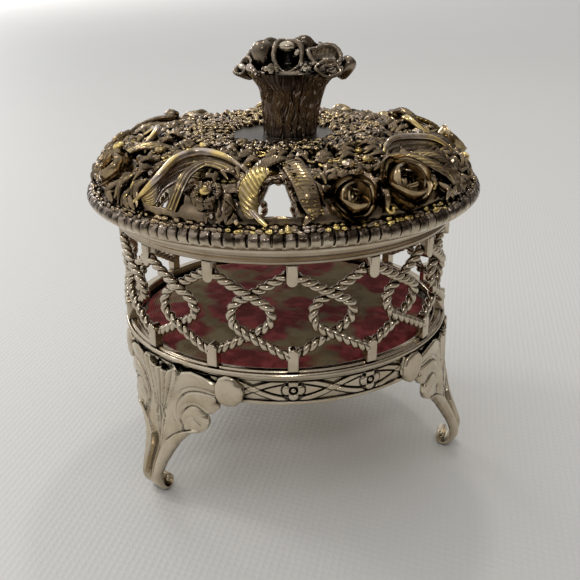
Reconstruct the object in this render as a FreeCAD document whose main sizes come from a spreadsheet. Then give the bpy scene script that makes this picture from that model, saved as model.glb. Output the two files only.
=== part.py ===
"""Footed openwork incense jar: pierced basket on three feet, loose pad and lift-off pierced lid.

Millimetres, +Z up. The origin is on the floor under the jar's axis. Angles turn
counter-clockwise about +Z and start at -Y, which is the middle of one gallery bay.
"""
import FreeCAD, Part
import math
import os

import Sketcher
from FreeCAD import Placement, Rotation, Vector

SHEET_ROWS = [
    # pierced lid: gadroon rim
    ("rim_inner", 46.6), ("rim_toe_radius", 48.6), ("rim_low_radius", 49.7), ("lid_radius", 50.0),
    ("rim_high_radius", 49.4), ("rim_lip_radius", 48.2),
    ("rim_foot_height", 68.6), ("rim_toe_height", 68.9), ("rim_low_height", 70.4),
    ("rim_widest_height", 72.0), ("rim_high_height", 73.8), ("rim_lip_height", 75.0),
    ("rim_top_height", 75.2),
    # pierced lid: collar that locates it in the basket
    ("skirt_inner", 39.0), ("skirt_outer", 39.8), ("skirt_foot", 64.6),
    ("flange_foot", 68.4), ("flange_top", 69.4),
    # pierced lid: domed shell, outer corners then inner corners, from the eave to the disc
    ("eave_height", 76.0), ("shoulder_radius", 44.6), ("shoulder_height", 79.2),
    ("slope_radius", 40.5), ("slope_height", 81.4), ("crown_radius", 32.0), ("crown_height", 83.2),
    ("flat_radius", 22.0), ("flat_height", 84.0),
    ("wall_inner", 45.4), ("eave_under", 75.4), ("shoulder_inner", 43.8), ("shoulder_under", 78.3),
    ("slope_inner", 40.1), ("slope_under", 80.2), ("crown_inner", 31.9), ("crown_under", 82.0),
    ("flat_under", 82.8),
    ("disc_radius", 14.0), ("screw_hole_radius", 1.7),
    # pierced lid: openings
    ("keyhole_turn", -17.0), ("keyhole_outer", -45.2), ("keyhole_middle", -39.2),
    ("keyhole_inner", -36.0), ("keyhole_half_width", 3.4), ("keyhole_top_half_width", 1.4),
    ("window_turn", -50.0), ("window_outer", -45.2), ("window_inner", -38.8),
    ("window_half_width", 3.4), ("window_top_half_width", 2.6),
    # knob
    ("stem_foot_radius", 6.9), ("stem_waist_radius", 6.9), ("stem_flare_radius", 7.4),
    ("stem_head_radius", 10.4), ("stem_waist_height", 88.0), ("stem_flare_height", 93.7),
    ("stem_neck_height", 96.6), ("stem_top_height", 98.0), ("stem_bore_radius", 1.5),
    ("stem_bore_top", 92.0),
    ("cup_radius", 4.6), ("cup_height", 7.0), ("cup_wall", 0.8), ("cup_foot_radius", 2.2),
    ("cup_ring_radius", 8.4), ("cup_ring_height", 98.6), ("cup_tilt", 38.0), ("cup_count", 6),
    ("cup_centre_height", 99.0),
    ("washer_radius", 4.0), ("washer_foot", 82.2), ("nut_foot", 79.8), ("nut_across_corners", 6.4),
    ("stud_foot", 79.2), ("stud_radius", 1.5), ("stud_top", 92.0),
    # basket: rings and floor
    ("top_ring_inner", 40.4), ("top_ring_outer", 43.8), ("top_ring_foot", 64.4),
    ("rail_inner", 40.4), ("rail_outer", 43.6), ("rail_foot", 36.2), ("rail_top", 38.2),
    ("band_inner", 41.0), ("band_outer", 42.4), ("band_foot", 29.4),
    ("floor_foot", 33.4), ("floor_thickness", 1.0),
    # basket: gallery
    ("bay_count", 14), ("post_inner", 40.4), ("post_depth", 3.0), ("post_half_width", 1.3),
    ("upper_post_round", 60.4), ("lower_post_round", 42.6),
    ("rope_ring", 41.6), ("rope_radius", 1.1), ("rope_knuckle", 1.14), ("weave", 0.6),
    ("eye_middle", 51.5), ("eye_turn_radius", 3.83), ("eye_turn_centre", 0.92),
    ("cross_rise", 5.0), ("post_rise", 10.4), ("rope_slope", 30.7),
    # basket: band rosettes
    ("rosette_radius", 2.2), ("rosette_height", 33.2), ("rosette_front", 43.0),
    ("rosette_turn", 12.857), ("rosette_boss_radius", 0.8), ("rosette_boss_front", 43.5),
    # feet
    ("leaf_inner", 42.4), ("leaf_outer", 44.0), ("leaf_foot", 14.4), ("leaf_top", 36.2),
    ("leaf_top_half", 16.8), ("leaf_notch_half", 17.0), ("leaf_notch_height", 29.2),
    ("leaf_lobe_half", 14.6), ("leaf_lobe_height", 24.6), ("leaf_scallop_half", 10.2),
    ("leaf_scallop_height", 19.4), ("leaf_tip_half", 5.8),
    ("boss_offset", 19.9), ("boss_height", 32.4), ("boss_radius", 3.4), ("boss_front", 44.7),
    ("shank_top_half", 6.8), ("shank_half", 5.4), ("ankle_half", 2.8), ("toe_half", 3.0),
    ("shank_top", 20.0), ("shank_knee", 14.2), ("ankle_height", 6.4),
    ("shank_knee_outer", 45.6), ("shank_calf_outer", 47.4), ("shank_calf_height", 9.7),
    ("heel_outer", 49.0), ("heel_height", 5.2), ("toe_ground_outer", 47.6),
    ("toe_ground_inner", 44.8), ("toe_curl_inner", 43.6), ("toe_curl_height", 2.4),
    ("toe_curl_top_radius", 44.9), ("toe_curl_top", 4.7), ("ankle_inner", 46.2),
    ("shank_calf_inner", 44.9), ("shank_calf_inner_height", 12.0), ("foot_spacing", 120.0),
    ("foot_floor", 0.0),
    # loose pad
    ("pad_radius", 39.5), ("pad_board_top", 35.4), ("pad_edge_height", 36.0),
    ("pad_shoulder_radius", 38.6), ("pad_shoulder_height", 36.6), ("pad_crown_height", 37.0),
]

DOC = FreeCAD.newDocument("IncenseJar")
SIZES = DOC.addObject("Spreadsheet::Sheet", "Sizes")
for row, (alias, number) in enumerate(SHEET_ROWS, start=1):
    SIZES.set("A%d" % row, str(number))
    SIZES.setAlias("A%d" % row, alias)
DOC.recompute()


def size(alias):
    """The value of one driving dimension."""
    return float(SIZES.get(alias))


def bind(feature, prop, alias):
    """Tie one property of a feature to a cell of the sheet."""
    feature.setExpression(prop, "Sizes." + alias)


# ---------------------------------------------------------------- sketches and bodies
def origin_plane(body, role):
    return next(item for item in body.Origin.OriginFeatures if item.Role == role)


def new_body(name):
    return DOC.addObject("PartDesign::Body", name)


def new_sketch(body, name, plane):
    sketch = body.newObject("Sketcher::SketchObject", name)
    sketch.AttachmentSupport = [(origin_plane(body, plane), "")]
    sketch.MapMode = "FlatFace"
    return sketch


def place_corner(sketch, edge, across, along, here):
    """Hold the first end of an edge at two sheet values; no value means on that axis."""
    if across is None:
        sketch.addConstraint(Sketcher.Constraint("PointOnObject", edge, 1, -2))
    else:
        index = sketch.addConstraint(Sketcher.Constraint("DistanceX", -1, 1, edge, 1, here.x))
        sketch.setExpression("Constraints[%d]" % index, "Sizes." + across)
    index = sketch.addConstraint(Sketcher.Constraint("DistanceY", -1, 1, edge, 1, here.y))
    sketch.setExpression("Constraints[%d]" % index, "Sizes." + along)


def join_ends(sketch, first_edge, count):
    for step in range(count):
        following = first_edge + (step + 1) % count
        sketch.addConstraint(Sketcher.Constraint("Coincident", first_edge + step, 2, following, 1))


def outline(sketch, corners):
    """Straight-sided closed outline; each corner is a pair of sheet aliases."""
    places = [Vector(size(across) if across else 0.0, size(along), 0) for across, along in corners]
    for index, place in enumerate(places):
        sketch.addGeometry(Part.LineSegment(place, places[(index + 1) % len(places)]), False)
    join_ends(sketch, 0, len(places))
    for index, (across, along) in enumerate(corners):
        place_corner(sketch, index, across, along, places[index])


def mirrored_outline(sketch, half):
    """Closed outline that is the same on both sides of the sketch's vertical axis."""
    right = [Vector(size(across), size(along), 0) for across, along in half]
    left = [Vector(-place.x, place.y, 0) for place in reversed(right)]
    places = right + left
    for index, place in enumerate(places):
        sketch.addGeometry(Part.LineSegment(place, places[(index + 1) % len(places)]), False)
    join_ends(sketch, 0, len(places))
    for index, (across, along) in enumerate(half):
        place_corner(sketch, index, across, along, right[index])
        opposite = len(places) - 1 - index
        sketch.addConstraint(Sketcher.Constraint("Symmetric", index, 1, opposite, 1, -2))


def turned(name, corners):
    """A ring, disc or stem: an outline of radius and height pairs turned about the axis."""
    body = new_body(name)
    sketch = new_sketch(body, name + "_profile", "XZ_Plane")
    outline(sketch, corners)
    revolution = body.newObject("PartDesign::Revolution", name + "_turned")
    revolution.Profile = sketch
    revolution.ReferenceAxis = (sketch, ["V_Axis"])
    revolution.Angle = 360
    body.Tip = revolution
    return body


def repeat_round(body, feature, count):
    """Repeat one feature round the jar's axis; count is a sheet alias or a whole number."""
    DOC.recompute()
    pattern = body.newObject("PartDesign::PolarPattern", feature.Name + "_round")
    pattern.Originals = [feature]
    pattern.Axis = (origin_plane(body, "Z_Axis"), [""])
    pattern.Angle = 360
    if isinstance(count, str):
        bind(pattern, "Occurrences", count)
    else:
        pattern.Occurrences = count
    body.Tip = pattern
    return pattern


def bored(body, name, radius, top):
    """Bore a blind hole up the axis of a turned body, from below the body to a height."""
    sketch = new_sketch(body, name + "_circle", "XY_Plane")
    sketch.addGeometry(Part.Circle(Vector(0, 0, 0), Vector(0, 0, 1), size(radius)), False)
    sketch.addConstraint(Sketcher.Constraint("Coincident", 0, 3, -1, 1))
    index = sketch.addConstraint(Sketcher.Constraint("Radius", 0, size(radius)))
    sketch.setExpression("Constraints[%d]" % index, "Sizes." + radius)
    pocket = body.newObject("PartDesign::Pocket", name)
    pocket.Profile = sketch
    pocket.Reversed = True
    bind(pocket, "Length", top)
    body.Tip = pocket
    return pocket


# ---------------------------------------------------------------- points and plain solids
def spot(angle, radius, height):
    """The point at an angle from -Y, a distance from the axis and a height."""
    turn = math.radians(angle)
    return Vector(radius * math.sin(turn), -radius * math.cos(turn), height)


def turned_copy(shape, angle):
    copy = shape.copy()
    copy.rotate(Vector(0, 0, 0), Vector(0, 0, 1), angle)
    return copy


def rod(start, middle, end, radius):
    """A round rod bent along the arc through three points."""
    arc = Part.Arc(start, middle, end).toShape()
    circle = Part.makeCircle(radius, start, arc.tangentAt(arc.FirstParameter))
    sweep = math.degrees(arc.LastParameter - arc.FirstParameter)
    return Part.Face(Part.Wire(circle)).revolve(arc.Curve.Center, arc.Curve.Axis, sweep)


def shaped_node(name, solids):
    """A sub-part made of the given solids, each a separate solid in one node."""
    node = DOC.addObject("Part::Feature", name)
    node.Shape = Part.makeCompound(solids)
    node.Placement = Placement()
    return node


# ---------------------------------------------------------------- lid
def make_lid_rim():
    return turned("lid_rim", [
        ("rim_inner", "rim_foot_height"), ("rim_toe_radius", "rim_toe_height"),
        ("rim_low_radius", "rim_low_height"), ("lid_radius", "rim_widest_height"),
        ("rim_high_radius", "rim_high_height"), ("rim_lip_radius", "rim_lip_height"),
        ("rim_inner", "rim_top_height")])


def make_locating_collar():
    return turned("locating_collar", [
        ("skirt_inner", "skirt_foot"), ("skirt_outer", "skirt_foot"),
        ("skirt_outer", "flange_foot"), ("rim_inner", "flange_foot"),
        ("rim_inner", "flange_top"), ("skirt_inner", "flange_top")])


def pierce(body, name, turn, corners):
    """Cut an opening through the shell and repeat it three times round the lid."""
    sketch = new_sketch(body, name + "_outline", "XY_Plane")
    mirrored_outline(sketch, corners)
    sketch.setExpression("AttachmentOffset.Rotation.Angle", "Sizes." + turn)
    pocket = body.newObject("PartDesign::Pocket", name)
    pocket.Profile = sketch
    pocket.Reversed = True
    bind(pocket, "Length", "stem_top_height")
    body.Tip = pocket
    return repeat_round(body, pocket, 3)


def make_lid_openwork():
    body = turned("lid_openwork", [
        ("rim_inner", "flange_top"), ("rim_inner", "eave_height"),
        ("shoulder_radius", "shoulder_height"), ("slope_radius", "slope_height"),
        ("crown_radius", "crown_height"), ("flat_radius", "flat_height"),
        ("disc_radius", "flat_height"), ("disc_radius", "flat_under"),
        ("flat_radius", "flat_under"), ("crown_inner", "crown_under"),
        ("slope_inner", "slope_under"), ("shoulder_inner", "shoulder_under"),
        ("wall_inner", "eave_under"), ("wall_inner", "flange_top")])
    pierce(body, "keyhole", "keyhole_turn", [
        ("keyhole_top_half_width", "keyhole_inner"), ("keyhole_half_width", "keyhole_middle"),
        ("keyhole_half_width", "keyhole_outer")])
    pierce(body, "window", "window_turn", [
        ("window_top_half_width", "window_inner"), ("window_half_width", "window_outer")])
    return body


def make_lid_centre_disc():
    return turned("lid_centre_disc", [
        ("screw_hole_radius", "flat_under"), ("disc_radius", "flat_under"),
        ("disc_radius", "flat_height"), ("screw_hole_radius", "flat_height")])


LID_SURFACE = [
    ("rim_inner", "eave_height"), ("shoulder_radius", "shoulder_height"),
    ("slope_radius", "slope_height"), ("crown_radius", "crown_height"),
    ("flat_radius", "flat_height")]


def lid_surface(radius):
    """Height of the lid's outer surface at a distance from the axis."""
    for (outer, low), (inner, high) in zip(LID_SURFACE, LID_SURFACE[1:]):
        if radius >= size(inner):
            share = (size(outer) - radius) / (size(outer) - size(inner))
            return size(low) + share * (size(high) - size(low))
    return size("flat_height")


def filled_lid():
    """Everything under the lid's outer surface, to trim the ornament that stands on it."""
    rim = [("rim_inner", "rim_top_height"), ("rim_lip_radius", "rim_lip_height"),
           ("rim_high_radius", "rim_high_height"), ("lid_radius", "rim_widest_height"),
           ("lid_radius", "skirt_foot")]
    corners = [Vector(0, 0, size("skirt_foot")), Vector(0, 0, size("flat_height"))]
    for radius, height in reversed(LID_SURFACE):
        corners.append(Vector(size(radius), 0, size(height)))
    for radius, height in rim:
        corners.append(Vector(size(radius), 0, size(height)))
    face = Part.Face(Part.makePolygon(corners + corners[:1]))
    return face.revolve(Vector(0, 0, 0), Vector(0, 0, 1), 360)


# Ornament on the lid: angle from -Y and distance from the axis; roses and buds add a radius.
ROSES = [(3.5, 44.2, 4.9), (21.0, 43.4, 6.2), (-78.5, 43.0, 6.2), (82.0, 43.4, 5.6),
         (122.0, 44.0, 5.4), (140.0, 43.2, 6.2), (-118.0, 43.6, 5.6), (-159.0, 43.2, 6.2)]
BUDS = [(-37.0, 43.2, 3.4), (8.0, 35.6, 3.3), (17.5, 34.6, 3.2), (-72.0, 33.6, 3.4),
        (62.0, 44.6, 3.0), (-96.0, 40.6, 3.4), (100.0, 25.6, 3.2), (-124.0, 26.0, 3.2),
        (132.0, 33.6, 3.4), (-148.0, 34.0, 3.4), (-60.0, 25.6, 3.2), (70.0, 33.8, 3.4),
        (-176.0, 27.0, 3.2)]
KEYHOLE_TURNS = (-17.0, 103.0, 223.0)
# Arched leaves: start, top of the arch and end, each an angle and a distance from the axis.
ARCHED_LEAVES = [
    ((-28.0, 37.0), (-54.0, 33.0), (-65.0, 45.6)), ((-33.0, 36.5), (-38.5, 40.5), (-41.6, 45.8)),
    ((28.0, 34.0), (44.0, 35.0), (57.0, 45.0)), ((29.0, 37.6), (36.0, 41.5), (40.0, 46.2)),
    ((-106.0, 36.0), (-98.0, 32.0), (-88.0, 33.0)), ((92.0, 37.0), (84.0, 33.4), (76.0, 36.0)),
    ((162.0, 37.0), (170.0, 33.0), (177.0, 42.5)), ((-153.0, 33.0), (-151.5, 39.5), (-149.5, 45.8)),
    ((150.0, 31.0), (156.0, 37.0), (160.0, 44.0))]
CROSSED_LEAF = ((1.2, 30.0), (7.5, 40.5), (9.0, 46.2))
LEAF_ROD = 2.0
LEAF_SINK = 1.5
ARCH_LIFT = 1.4
SMALLEST_PIECE = 4.0


def leaf_rod(places):
    """A leaf arched over the lid as a bent rod whose two ends sink into the surface."""
    rises = (-LEAF_SINK, ARCH_LIFT, -LEAF_SINK)
    points = [spot(angle, radius, lid_surface(radius) + rise)
              for (angle, radius), rise in zip(places, rises)]
    return rod(*points, LEAF_ROD)


def dome(angle, radius, ball):
    """A round flower head that stands half out of the lid's surface."""
    return Part.makeSphere(ball, spot(angle, radius, lid_surface(radius) - 0.1 * ball))


def trimmed(solids, tools):
    """The pieces of the solids that are left outside the tools, without crumbs."""
    kept = []
    for solid in solids:
        for piece in solid.cut(tools).Solids:
            if piece.Volume > SMALLEST_PIECE:
                kept.append(piece)
    return kept


def make_lid_ornament():
    """Leaves, roses and buds in turn, each trimmed by the lid and by those before it."""
    crossed = []
    for turn in KEYHOLE_TURNS:
        for side in (-1, 1):
            places = [(turn + side * angle, radius) for angle, radius in CROSSED_LEAF]
            crossed.append(leaf_rod(places))
    groups = [
        ("lid_crossed_leaves", crossed),
        ("lid_roses", [dome(*place) for place in ROSES]),
        ("lid_arched_leaves", [leaf_rod(places) for places in ARCHED_LEAVES]),
        ("lid_buds", [dome(*place) for place in BUDS])]
    tools = [filled_lid()]
    nodes = []
    for name, solids in groups:
        kept = trimmed(solids, tools)
        nodes.append(shaped_node(name, kept))
        tools = tools + kept
    return nodes


# ---------------------------------------------------------------- knob
def make_knob_stem():
    body = turned("knob_stem", [
        (None, "flat_height"), ("stem_foot_radius", "flat_height"),
        ("stem_waist_radius", "stem_waist_height"), ("stem_flare_radius", "stem_flare_height"),
        ("stem_head_radius", "stem_neck_height"), ("stem_head_radius", "stem_top_height"),
        (None, "stem_top_height")])
    bored(body, "stem_bore", "stem_bore_radius", "stem_bore_top")
    return body


def cup():
    """One open blossom, standing on the origin."""
    foot, mouth, tall = size("cup_foot_radius"), size("cup_radius"), size("cup_height")
    wall = size("cup_wall")
    outside = Part.makeCone(foot, mouth, tall)
    hollow = Part.makeCone(foot - wall, mouth - wall, tall - 2 * wall, Vector(0, 0, 2 * wall))
    return outside.cut(hollow)


def make_knob_blossoms(stem):
    """A ring of open blossoms that lean outwards round an upright one."""
    blossoms = []
    count = int(size("cup_count"))
    middle = cup()
    middle.translate(Vector(0, 0, size("cup_centre_height")))
    hub = Part.makeCylinder(size("cup_ring_radius"), size("cup_centre_height")
                            - size("stem_top_height") + size("cup_wall"),
                            Vector(0, 0, size("stem_top_height")))
    for step in range(count):
        blossom = cup()
        blossom.Placement = Placement(
            Vector(0, -size("cup_ring_radius") + size("cup_foot_radius"), size("cup_ring_height")),
            Rotation(Vector(1, 0, 0), size("cup_tilt")))
        blossoms.append(turned_copy(blossom, 360.0 * step / count))
    head = middle.fuse(blossoms + [hub]).cut(stem)
    return shaped_node("knob_blossoms", head.Solids)


def make_knob_stud():
    stud = DOC.addObject("Part::Cylinder", "knob_stud")
    bind(stud, "Radius", "stud_radius")
    stud.setExpression("Height", "Sizes.stud_top - Sizes.stud_foot")
    bind(stud, "Placement.Base.z", "stud_foot")
    return stud


def make_knob_washer():
    return turned("knob_washer", [
        ("screw_hole_radius", "washer_foot"), ("washer_radius", "washer_foot"),
        ("washer_radius", "flat_under"), ("screw_hole_radius", "flat_under")])


def make_knob_nut():
    prism = DOC.addObject("Part::Prism", "nut_prism")
    prism.Polygon = 6
    prism.setExpression("Circumradius", "Sizes.nut_across_corners / 2")
    prism.setExpression("Height", "Sizes.washer_foot - Sizes.nut_foot")
    bind(prism, "Placement.Base.z", "nut_foot")
    thread = DOC.addObject("Part::Cylinder", "nut_thread")
    bind(thread, "Radius", "stud_radius")
    bind(thread, "Height", "washer_foot")
    nut = DOC.addObject("Part::Cut", "knob_nut")
    nut.Base = prism
    nut.Tool = thread
    return nut


# ---------------------------------------------------------------- basket
def make_basket_rings():
    top_ring = turned("top_ring", [
        ("top_ring_inner", "top_ring_foot"), ("top_ring_outer", "top_ring_foot"),
        ("top_ring_outer", "flange_foot"), ("top_ring_inner", "flange_foot")])
    rail_ring = turned("rail_ring", [
        ("rail_inner", "rail_foot"), ("rail_outer", "rail_foot"),
        ("rail_outer", "rail_top"), ("rail_inner", "rail_top")])
    base_band = turned("base_band", [
        ("band_inner", "band_foot"), ("band_outer", "band_foot"),
        ("band_outer", "rail_foot"), ("band_inner", "rail_foot")])
    return [top_ring, rail_ring, base_band]


def make_floor_plate():
    plate = DOC.addObject("Part::Cylinder", "floor_plate")
    bind(plate, "Radius", "band_inner")
    bind(plate, "Height", "floor_thickness")
    bind(plate, "Placement.Base.z", "floor_foot")
    return plate


def make_posts(name, flat, tip):
    """Round-ended posts between the bays; flat and tip are the heights of their two ends."""
    body = new_body(name)
    sketch = new_sketch(body, name + "_outline", "YZ_Plane")
    bind(sketch, "AttachmentOffset.Base.z", "post_inner")
    half, level, end = size("post_half_width"), size(flat), size(tip)
    hangs = level > end
    start_turn, end_turn = (math.pi, 2 * math.pi) if hangs else (0.0, math.pi)
    first, last = (-half, half) if hangs else (half, -half)
    circle = Part.Circle(Vector(0, end, 0), Vector(0, 0, 1), half)
    sketch.addGeometry(Part.LineSegment(Vector(first, level, 0), Vector(first, end, 0)), False)
    sketch.addGeometry(Part.ArcOfCircle(circle, start_turn, end_turn), False)
    sketch.addGeometry(Part.LineSegment(Vector(last, end, 0), Vector(last, level, 0)), False)
    sketch.addGeometry(Part.LineSegment(Vector(last, level, 0), Vector(first, level, 0)), False)
    join_ends(sketch, 0, 4)
    for edge in (0, 2):
        sketch.addConstraint(Sketcher.Constraint("Vertical", edge))
    sketch.addConstraint(Sketcher.Constraint("Horizontal", 3))
    sketch.addConstraint(Sketcher.Constraint("PointOnObject", 1, 3, -2))
    sketch.addConstraint(Sketcher.Constraint("Horizontal", 1, 1, 1, 3))
    index = sketch.addConstraint(Sketcher.Constraint("Radius", 1, half))
    sketch.setExpression("Constraints[%d]" % index, "Sizes.post_half_width")
    index = sketch.addConstraint(Sketcher.Constraint("DistanceY", -1, 1, 1, 3, end))
    sketch.setExpression("Constraints[%d]" % index, "Sizes." + tip)
    index = sketch.addConstraint(Sketcher.Constraint("DistanceY", -1, 1, 3, 1, level))
    sketch.setExpression("Constraints[%d]" % index, "Sizes." + flat)
    pad = body.newObject("PartDesign::Pad", name + "_pad")
    pad.Profile = sketch
    bind(pad, "Length", "post_depth")
    repeat_round(body, pad, "bay_count")
    return body


def rope_spot(along, rise, lift):
    """A point of the gallery: distance round the ring from a bay's middle, rise above the eye."""
    angle = math.degrees(along / size("rope_ring"))
    return spot(angle, size("rope_ring") + lift, size("eye_middle") + rise)


def rope_strand(side):
    """One strand of a bay: from a post's top, over one crossing, round the eye and back."""
    half_bay = size("rope_ring") * math.pi / size("bay_count")
    slope = math.radians(size("rope_slope"))
    turn = size("eye_turn_radius")
    shoulder = size("eye_turn_centre") + turn * math.sin(slope)
    shoulder_rise = turn * math.cos(slope)
    widest = size("eye_turn_centre") + turn
    lift = side * size("weave")
    top = [rope_spot(-side * half_bay, size("post_rise"), 0),
           rope_spot(0, size("cross_rise"), lift),
           rope_spot(side * shoulder, shoulder_rise, lift / 2)]
    eye = [top[2], rope_spot(side * widest, 0, 0),
           rope_spot(side * shoulder, -shoulder_rise, -lift / 2)]
    low = [eye[2], rope_spot(0, -size("cross_rise"), -lift),
           rope_spot(-side * half_bay, -size("post_rise"), 0)]
    knuckles = [Part.makeSphere(size("rope_knuckle"), eye[0]),
                Part.makeSphere(size("rope_knuckle"), eye[2])]
    rods = [rod(*stretch, size("rope_radius")) for stretch in (top, eye, low)]
    return rods[0].fuse(rods[1:] + knuckles)


def make_rope_strands(posts):
    """Right and left strands of every bay, butted to the posts and seated on each other."""
    right = rope_strand(1).cut(posts)
    left = rope_strand(-1).cut(posts + [right])
    count = int(size("bay_count"))
    nodes = []
    for name, strand in (("rope_strands_right", right), ("rope_strands_left", left)):
        solids = []
        for step in range(count):
            solids.extend(turned_copy(strand, 360.0 * step / count).Solids)
        nodes.append(shaped_node(name, solids))
    return nodes


def make_band_rosettes():
    """Round flowers on the band, two between each pair of feet."""
    core = Part.makeCylinder(size("band_outer"), size("rail_foot"))
    outward = Vector(0, -1, 0)
    centre = Vector(0, 0, size("rosette_height"))
    petals = Part.makeCylinder(size("rosette_radius"), size("rosette_front"), centre, outward)
    boss = Part.makeCylinder(size("rosette_boss_radius"), size("rosette_boss_front"), centre,
                             outward)
    flower = petals.fuse(boss).cut(core)
    solids = []
    for gap in range(3):
        for side in (-1, 1):
            turn = gap * size("foot_spacing") + side * size("rosette_turn")
            solids.extend(turned_copy(flower, turn).Solids)
    return shaped_node("band_rosettes", solids)


# ---------------------------------------------------------------- feet
def padded_outline(name, plane, half, corners_are_mirrored=True):
    """A thick plate of an outline, as deep as the jar is wide on both sides of its plane."""
    body = new_body(name)
    sketch = new_sketch(body, name + "_outline", plane)
    if corners_are_mirrored:
        mirrored_outline(sketch, half)
    else:
        outline(sketch, half)
    pad = body.newObject("PartDesign::Pad", name + "_pad")
    pad.Profile = sketch
    pad.Reversed = plane == "XZ_Plane"
    bind(pad, "Length", "lid_radius")
    if plane == "YZ_Plane":
        pad.Midplane = True
    body.Tip = pad
    return body


def common(name, shapes):
    both = DOC.addObject("Part::MultiCommon", name)
    both.Shapes = shapes
    return both


def make_feet():
    """The back foot, a leaf shell on a curled shank, and two turned copies of it."""
    leaf_front = padded_outline("leaf_front", "XZ_Plane", [
        ("leaf_top_half", "leaf_top"), ("leaf_notch_half", "leaf_notch_height"),
        ("leaf_lobe_half", "leaf_lobe_height"), ("leaf_scallop_half", "leaf_scallop_height"),
        ("leaf_tip_half", "leaf_foot")])
    leaf_wall = turned("leaf_wall", [
        ("leaf_inner", "leaf_foot"), ("leaf_outer", "leaf_foot"), ("leaf_outer", "leaf_top"),
        ("leaf_inner", "leaf_top")])
    leaf = common("leaf", [leaf_front, leaf_wall])
    shank_front = padded_outline("shank_front", "XZ_Plane", [
        ("shank_top_half", "shank_top"), ("shank_half", "shank_knee"),
        ("ankle_half", "ankle_height"), ("toe_half", "toe_curl_height"), ("toe_half", "foot_floor")])
    shank_side = padded_outline("shank_side", "YZ_Plane", [
        ("leaf_outer", "shank_top"), ("shank_knee_outer", "shank_knee"),
        ("shank_calf_outer", "shank_calf_height"), ("heel_outer", "heel_height"),
        ("toe_ground_outer", "foot_floor"), ("toe_ground_inner", "foot_floor"),
        ("toe_curl_inner", "toe_curl_height"), ("toe_curl_top_radius", "toe_curl_top"),
        ("ankle_inner", "ankle_height"), ("shank_calf_inner", "shank_calf_inner_height"),
        ("leaf_inner", "shank_top")], corners_are_mirrored=False)
    shank = common("shank", [shank_front, shank_side])
    boss_wall = turned("boss_wall", [
        ("leaf_inner", "band_foot"), ("boss_front", "band_foot"), ("boss_front", "leaf_top"),
        ("leaf_inner", "leaf_top")])
    bosses = []
    for side, label in ((-1, "boss_left"), (1, "boss_right")):
        peg = DOC.addObject("Part::Cylinder", label + "_peg")
        bind(peg, "Radius", "boss_radius")
        bind(peg, "Height", "lid_radius")
        peg.Placement = Placement(Vector(0, 0, 0), Rotation(Vector(1, 0, 0), -90))
        peg.setExpression("Placement.Base.x", "%d * Sizes.boss_offset" % side)
        bind(peg, "Placement.Base.z", "boss_height")
        bosses.append(common(label, [peg, boss_wall]))
    back = DOC.addObject("Part::MultiFuse", "foot_back")
    back.Shapes = [leaf, shank] + bosses
    feet = [back]
    for name, side in (("foot_right", -1), ("foot_left", 1)):
        foot = DOC.addObject("Part::Compound", name)
        foot.Links = [back]
        foot.setExpression("Placement.Rotation.Angle", "%d * Sizes.foot_spacing" % side)
        feet.append(foot)
    return feet


# ---------------------------------------------------------------- loose pad
def make_pad():
    board = DOC.addObject("Part::Cylinder", "pad_board")
    bind(board, "Radius", "pad_radius")
    board.setExpression("Height", "Sizes.pad_board_top - Sizes.floor_foot - Sizes.floor_thickness")
    board.setExpression("Placement.Base.z", "Sizes.floor_foot + Sizes.floor_thickness")
    cover = turned("pad_cover", [
        (None, "pad_board_top"), ("pad_radius", "pad_board_top"), ("pad_radius", "pad_edge_height"),
        ("pad_shoulder_radius", "pad_shoulder_height"), (None, "pad_crown_height")])
    return [board, cover]


# ---------------------------------------------------------------- the jar
def make_jar():
    nodes = make_basket_rings()
    nodes.append(make_floor_plate())
    upper_posts = make_posts("upper_posts", "top_ring_foot", "upper_post_round")
    lower_posts = make_posts("lower_posts", "rail_top", "lower_post_round")
    nodes += [upper_posts, lower_posts]
    nodes += make_feet()
    nodes.append(make_band_rosettes())
    nodes += make_pad()
    nodes += [make_lid_rim(), make_locating_collar(), make_lid_openwork(), make_lid_centre_disc()]
    nodes += make_lid_ornament()
    stem = make_knob_stem()
    nodes += [stem, make_knob_stud(), make_knob_washer(), make_knob_nut()]
    DOC.recompute()
    nodes += make_rope_strands([upper_posts.Shape, lower_posts.Shape])
    nodes.append(make_knob_blossoms(stem.Shape))
    DOC.recompute()
    return nodes


def check(nodes):
    """Stop if any feature failed or any sub-part's shape is empty or invalid."""
    for item in DOC.Objects:
        if "Invalid" in item.State or "Error" in item.State:
            raise RuntimeError("%s failed: %s" % (item.Name, item.State))
    for node in nodes:
        if node.Shape.isNull() or not node.Shape.isValid() or not node.Shape.Solids:
            raise RuntimeError("%s has no valid solid" % node.Name)


def export(nodes):
    os.makedirs("parts", exist_ok=True)
    for node in nodes:
        node.Label = node.Name
        node.Shape.exportStep("parts/%s.step" % node.Name)
        box = node.Shape.BoundBox
        print("%-20s solids %3d  volume %9.2f  z %6.2f..%6.2f  reach %5.2f" % (
            node.Name, len(node.Shape.Solids), node.Shape.Volume, box.ZMin, box.ZMax,
            max(box.XMax, -box.XMin, box.YMax, -box.YMin)))


JAR = make_jar()
check(JAR)
export(JAR)
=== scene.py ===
"""Looks of the footed openwork incense jar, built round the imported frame.

Shapes are worked out in millimetres and written to meshes in metres. Angles turn
counter-clockwise about +Z from -Y, as in the CAD source.
"""
import math
import random

import bmesh
import bpy
import numpy as np
from mathutils import Matrix, Vector, noise


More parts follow.
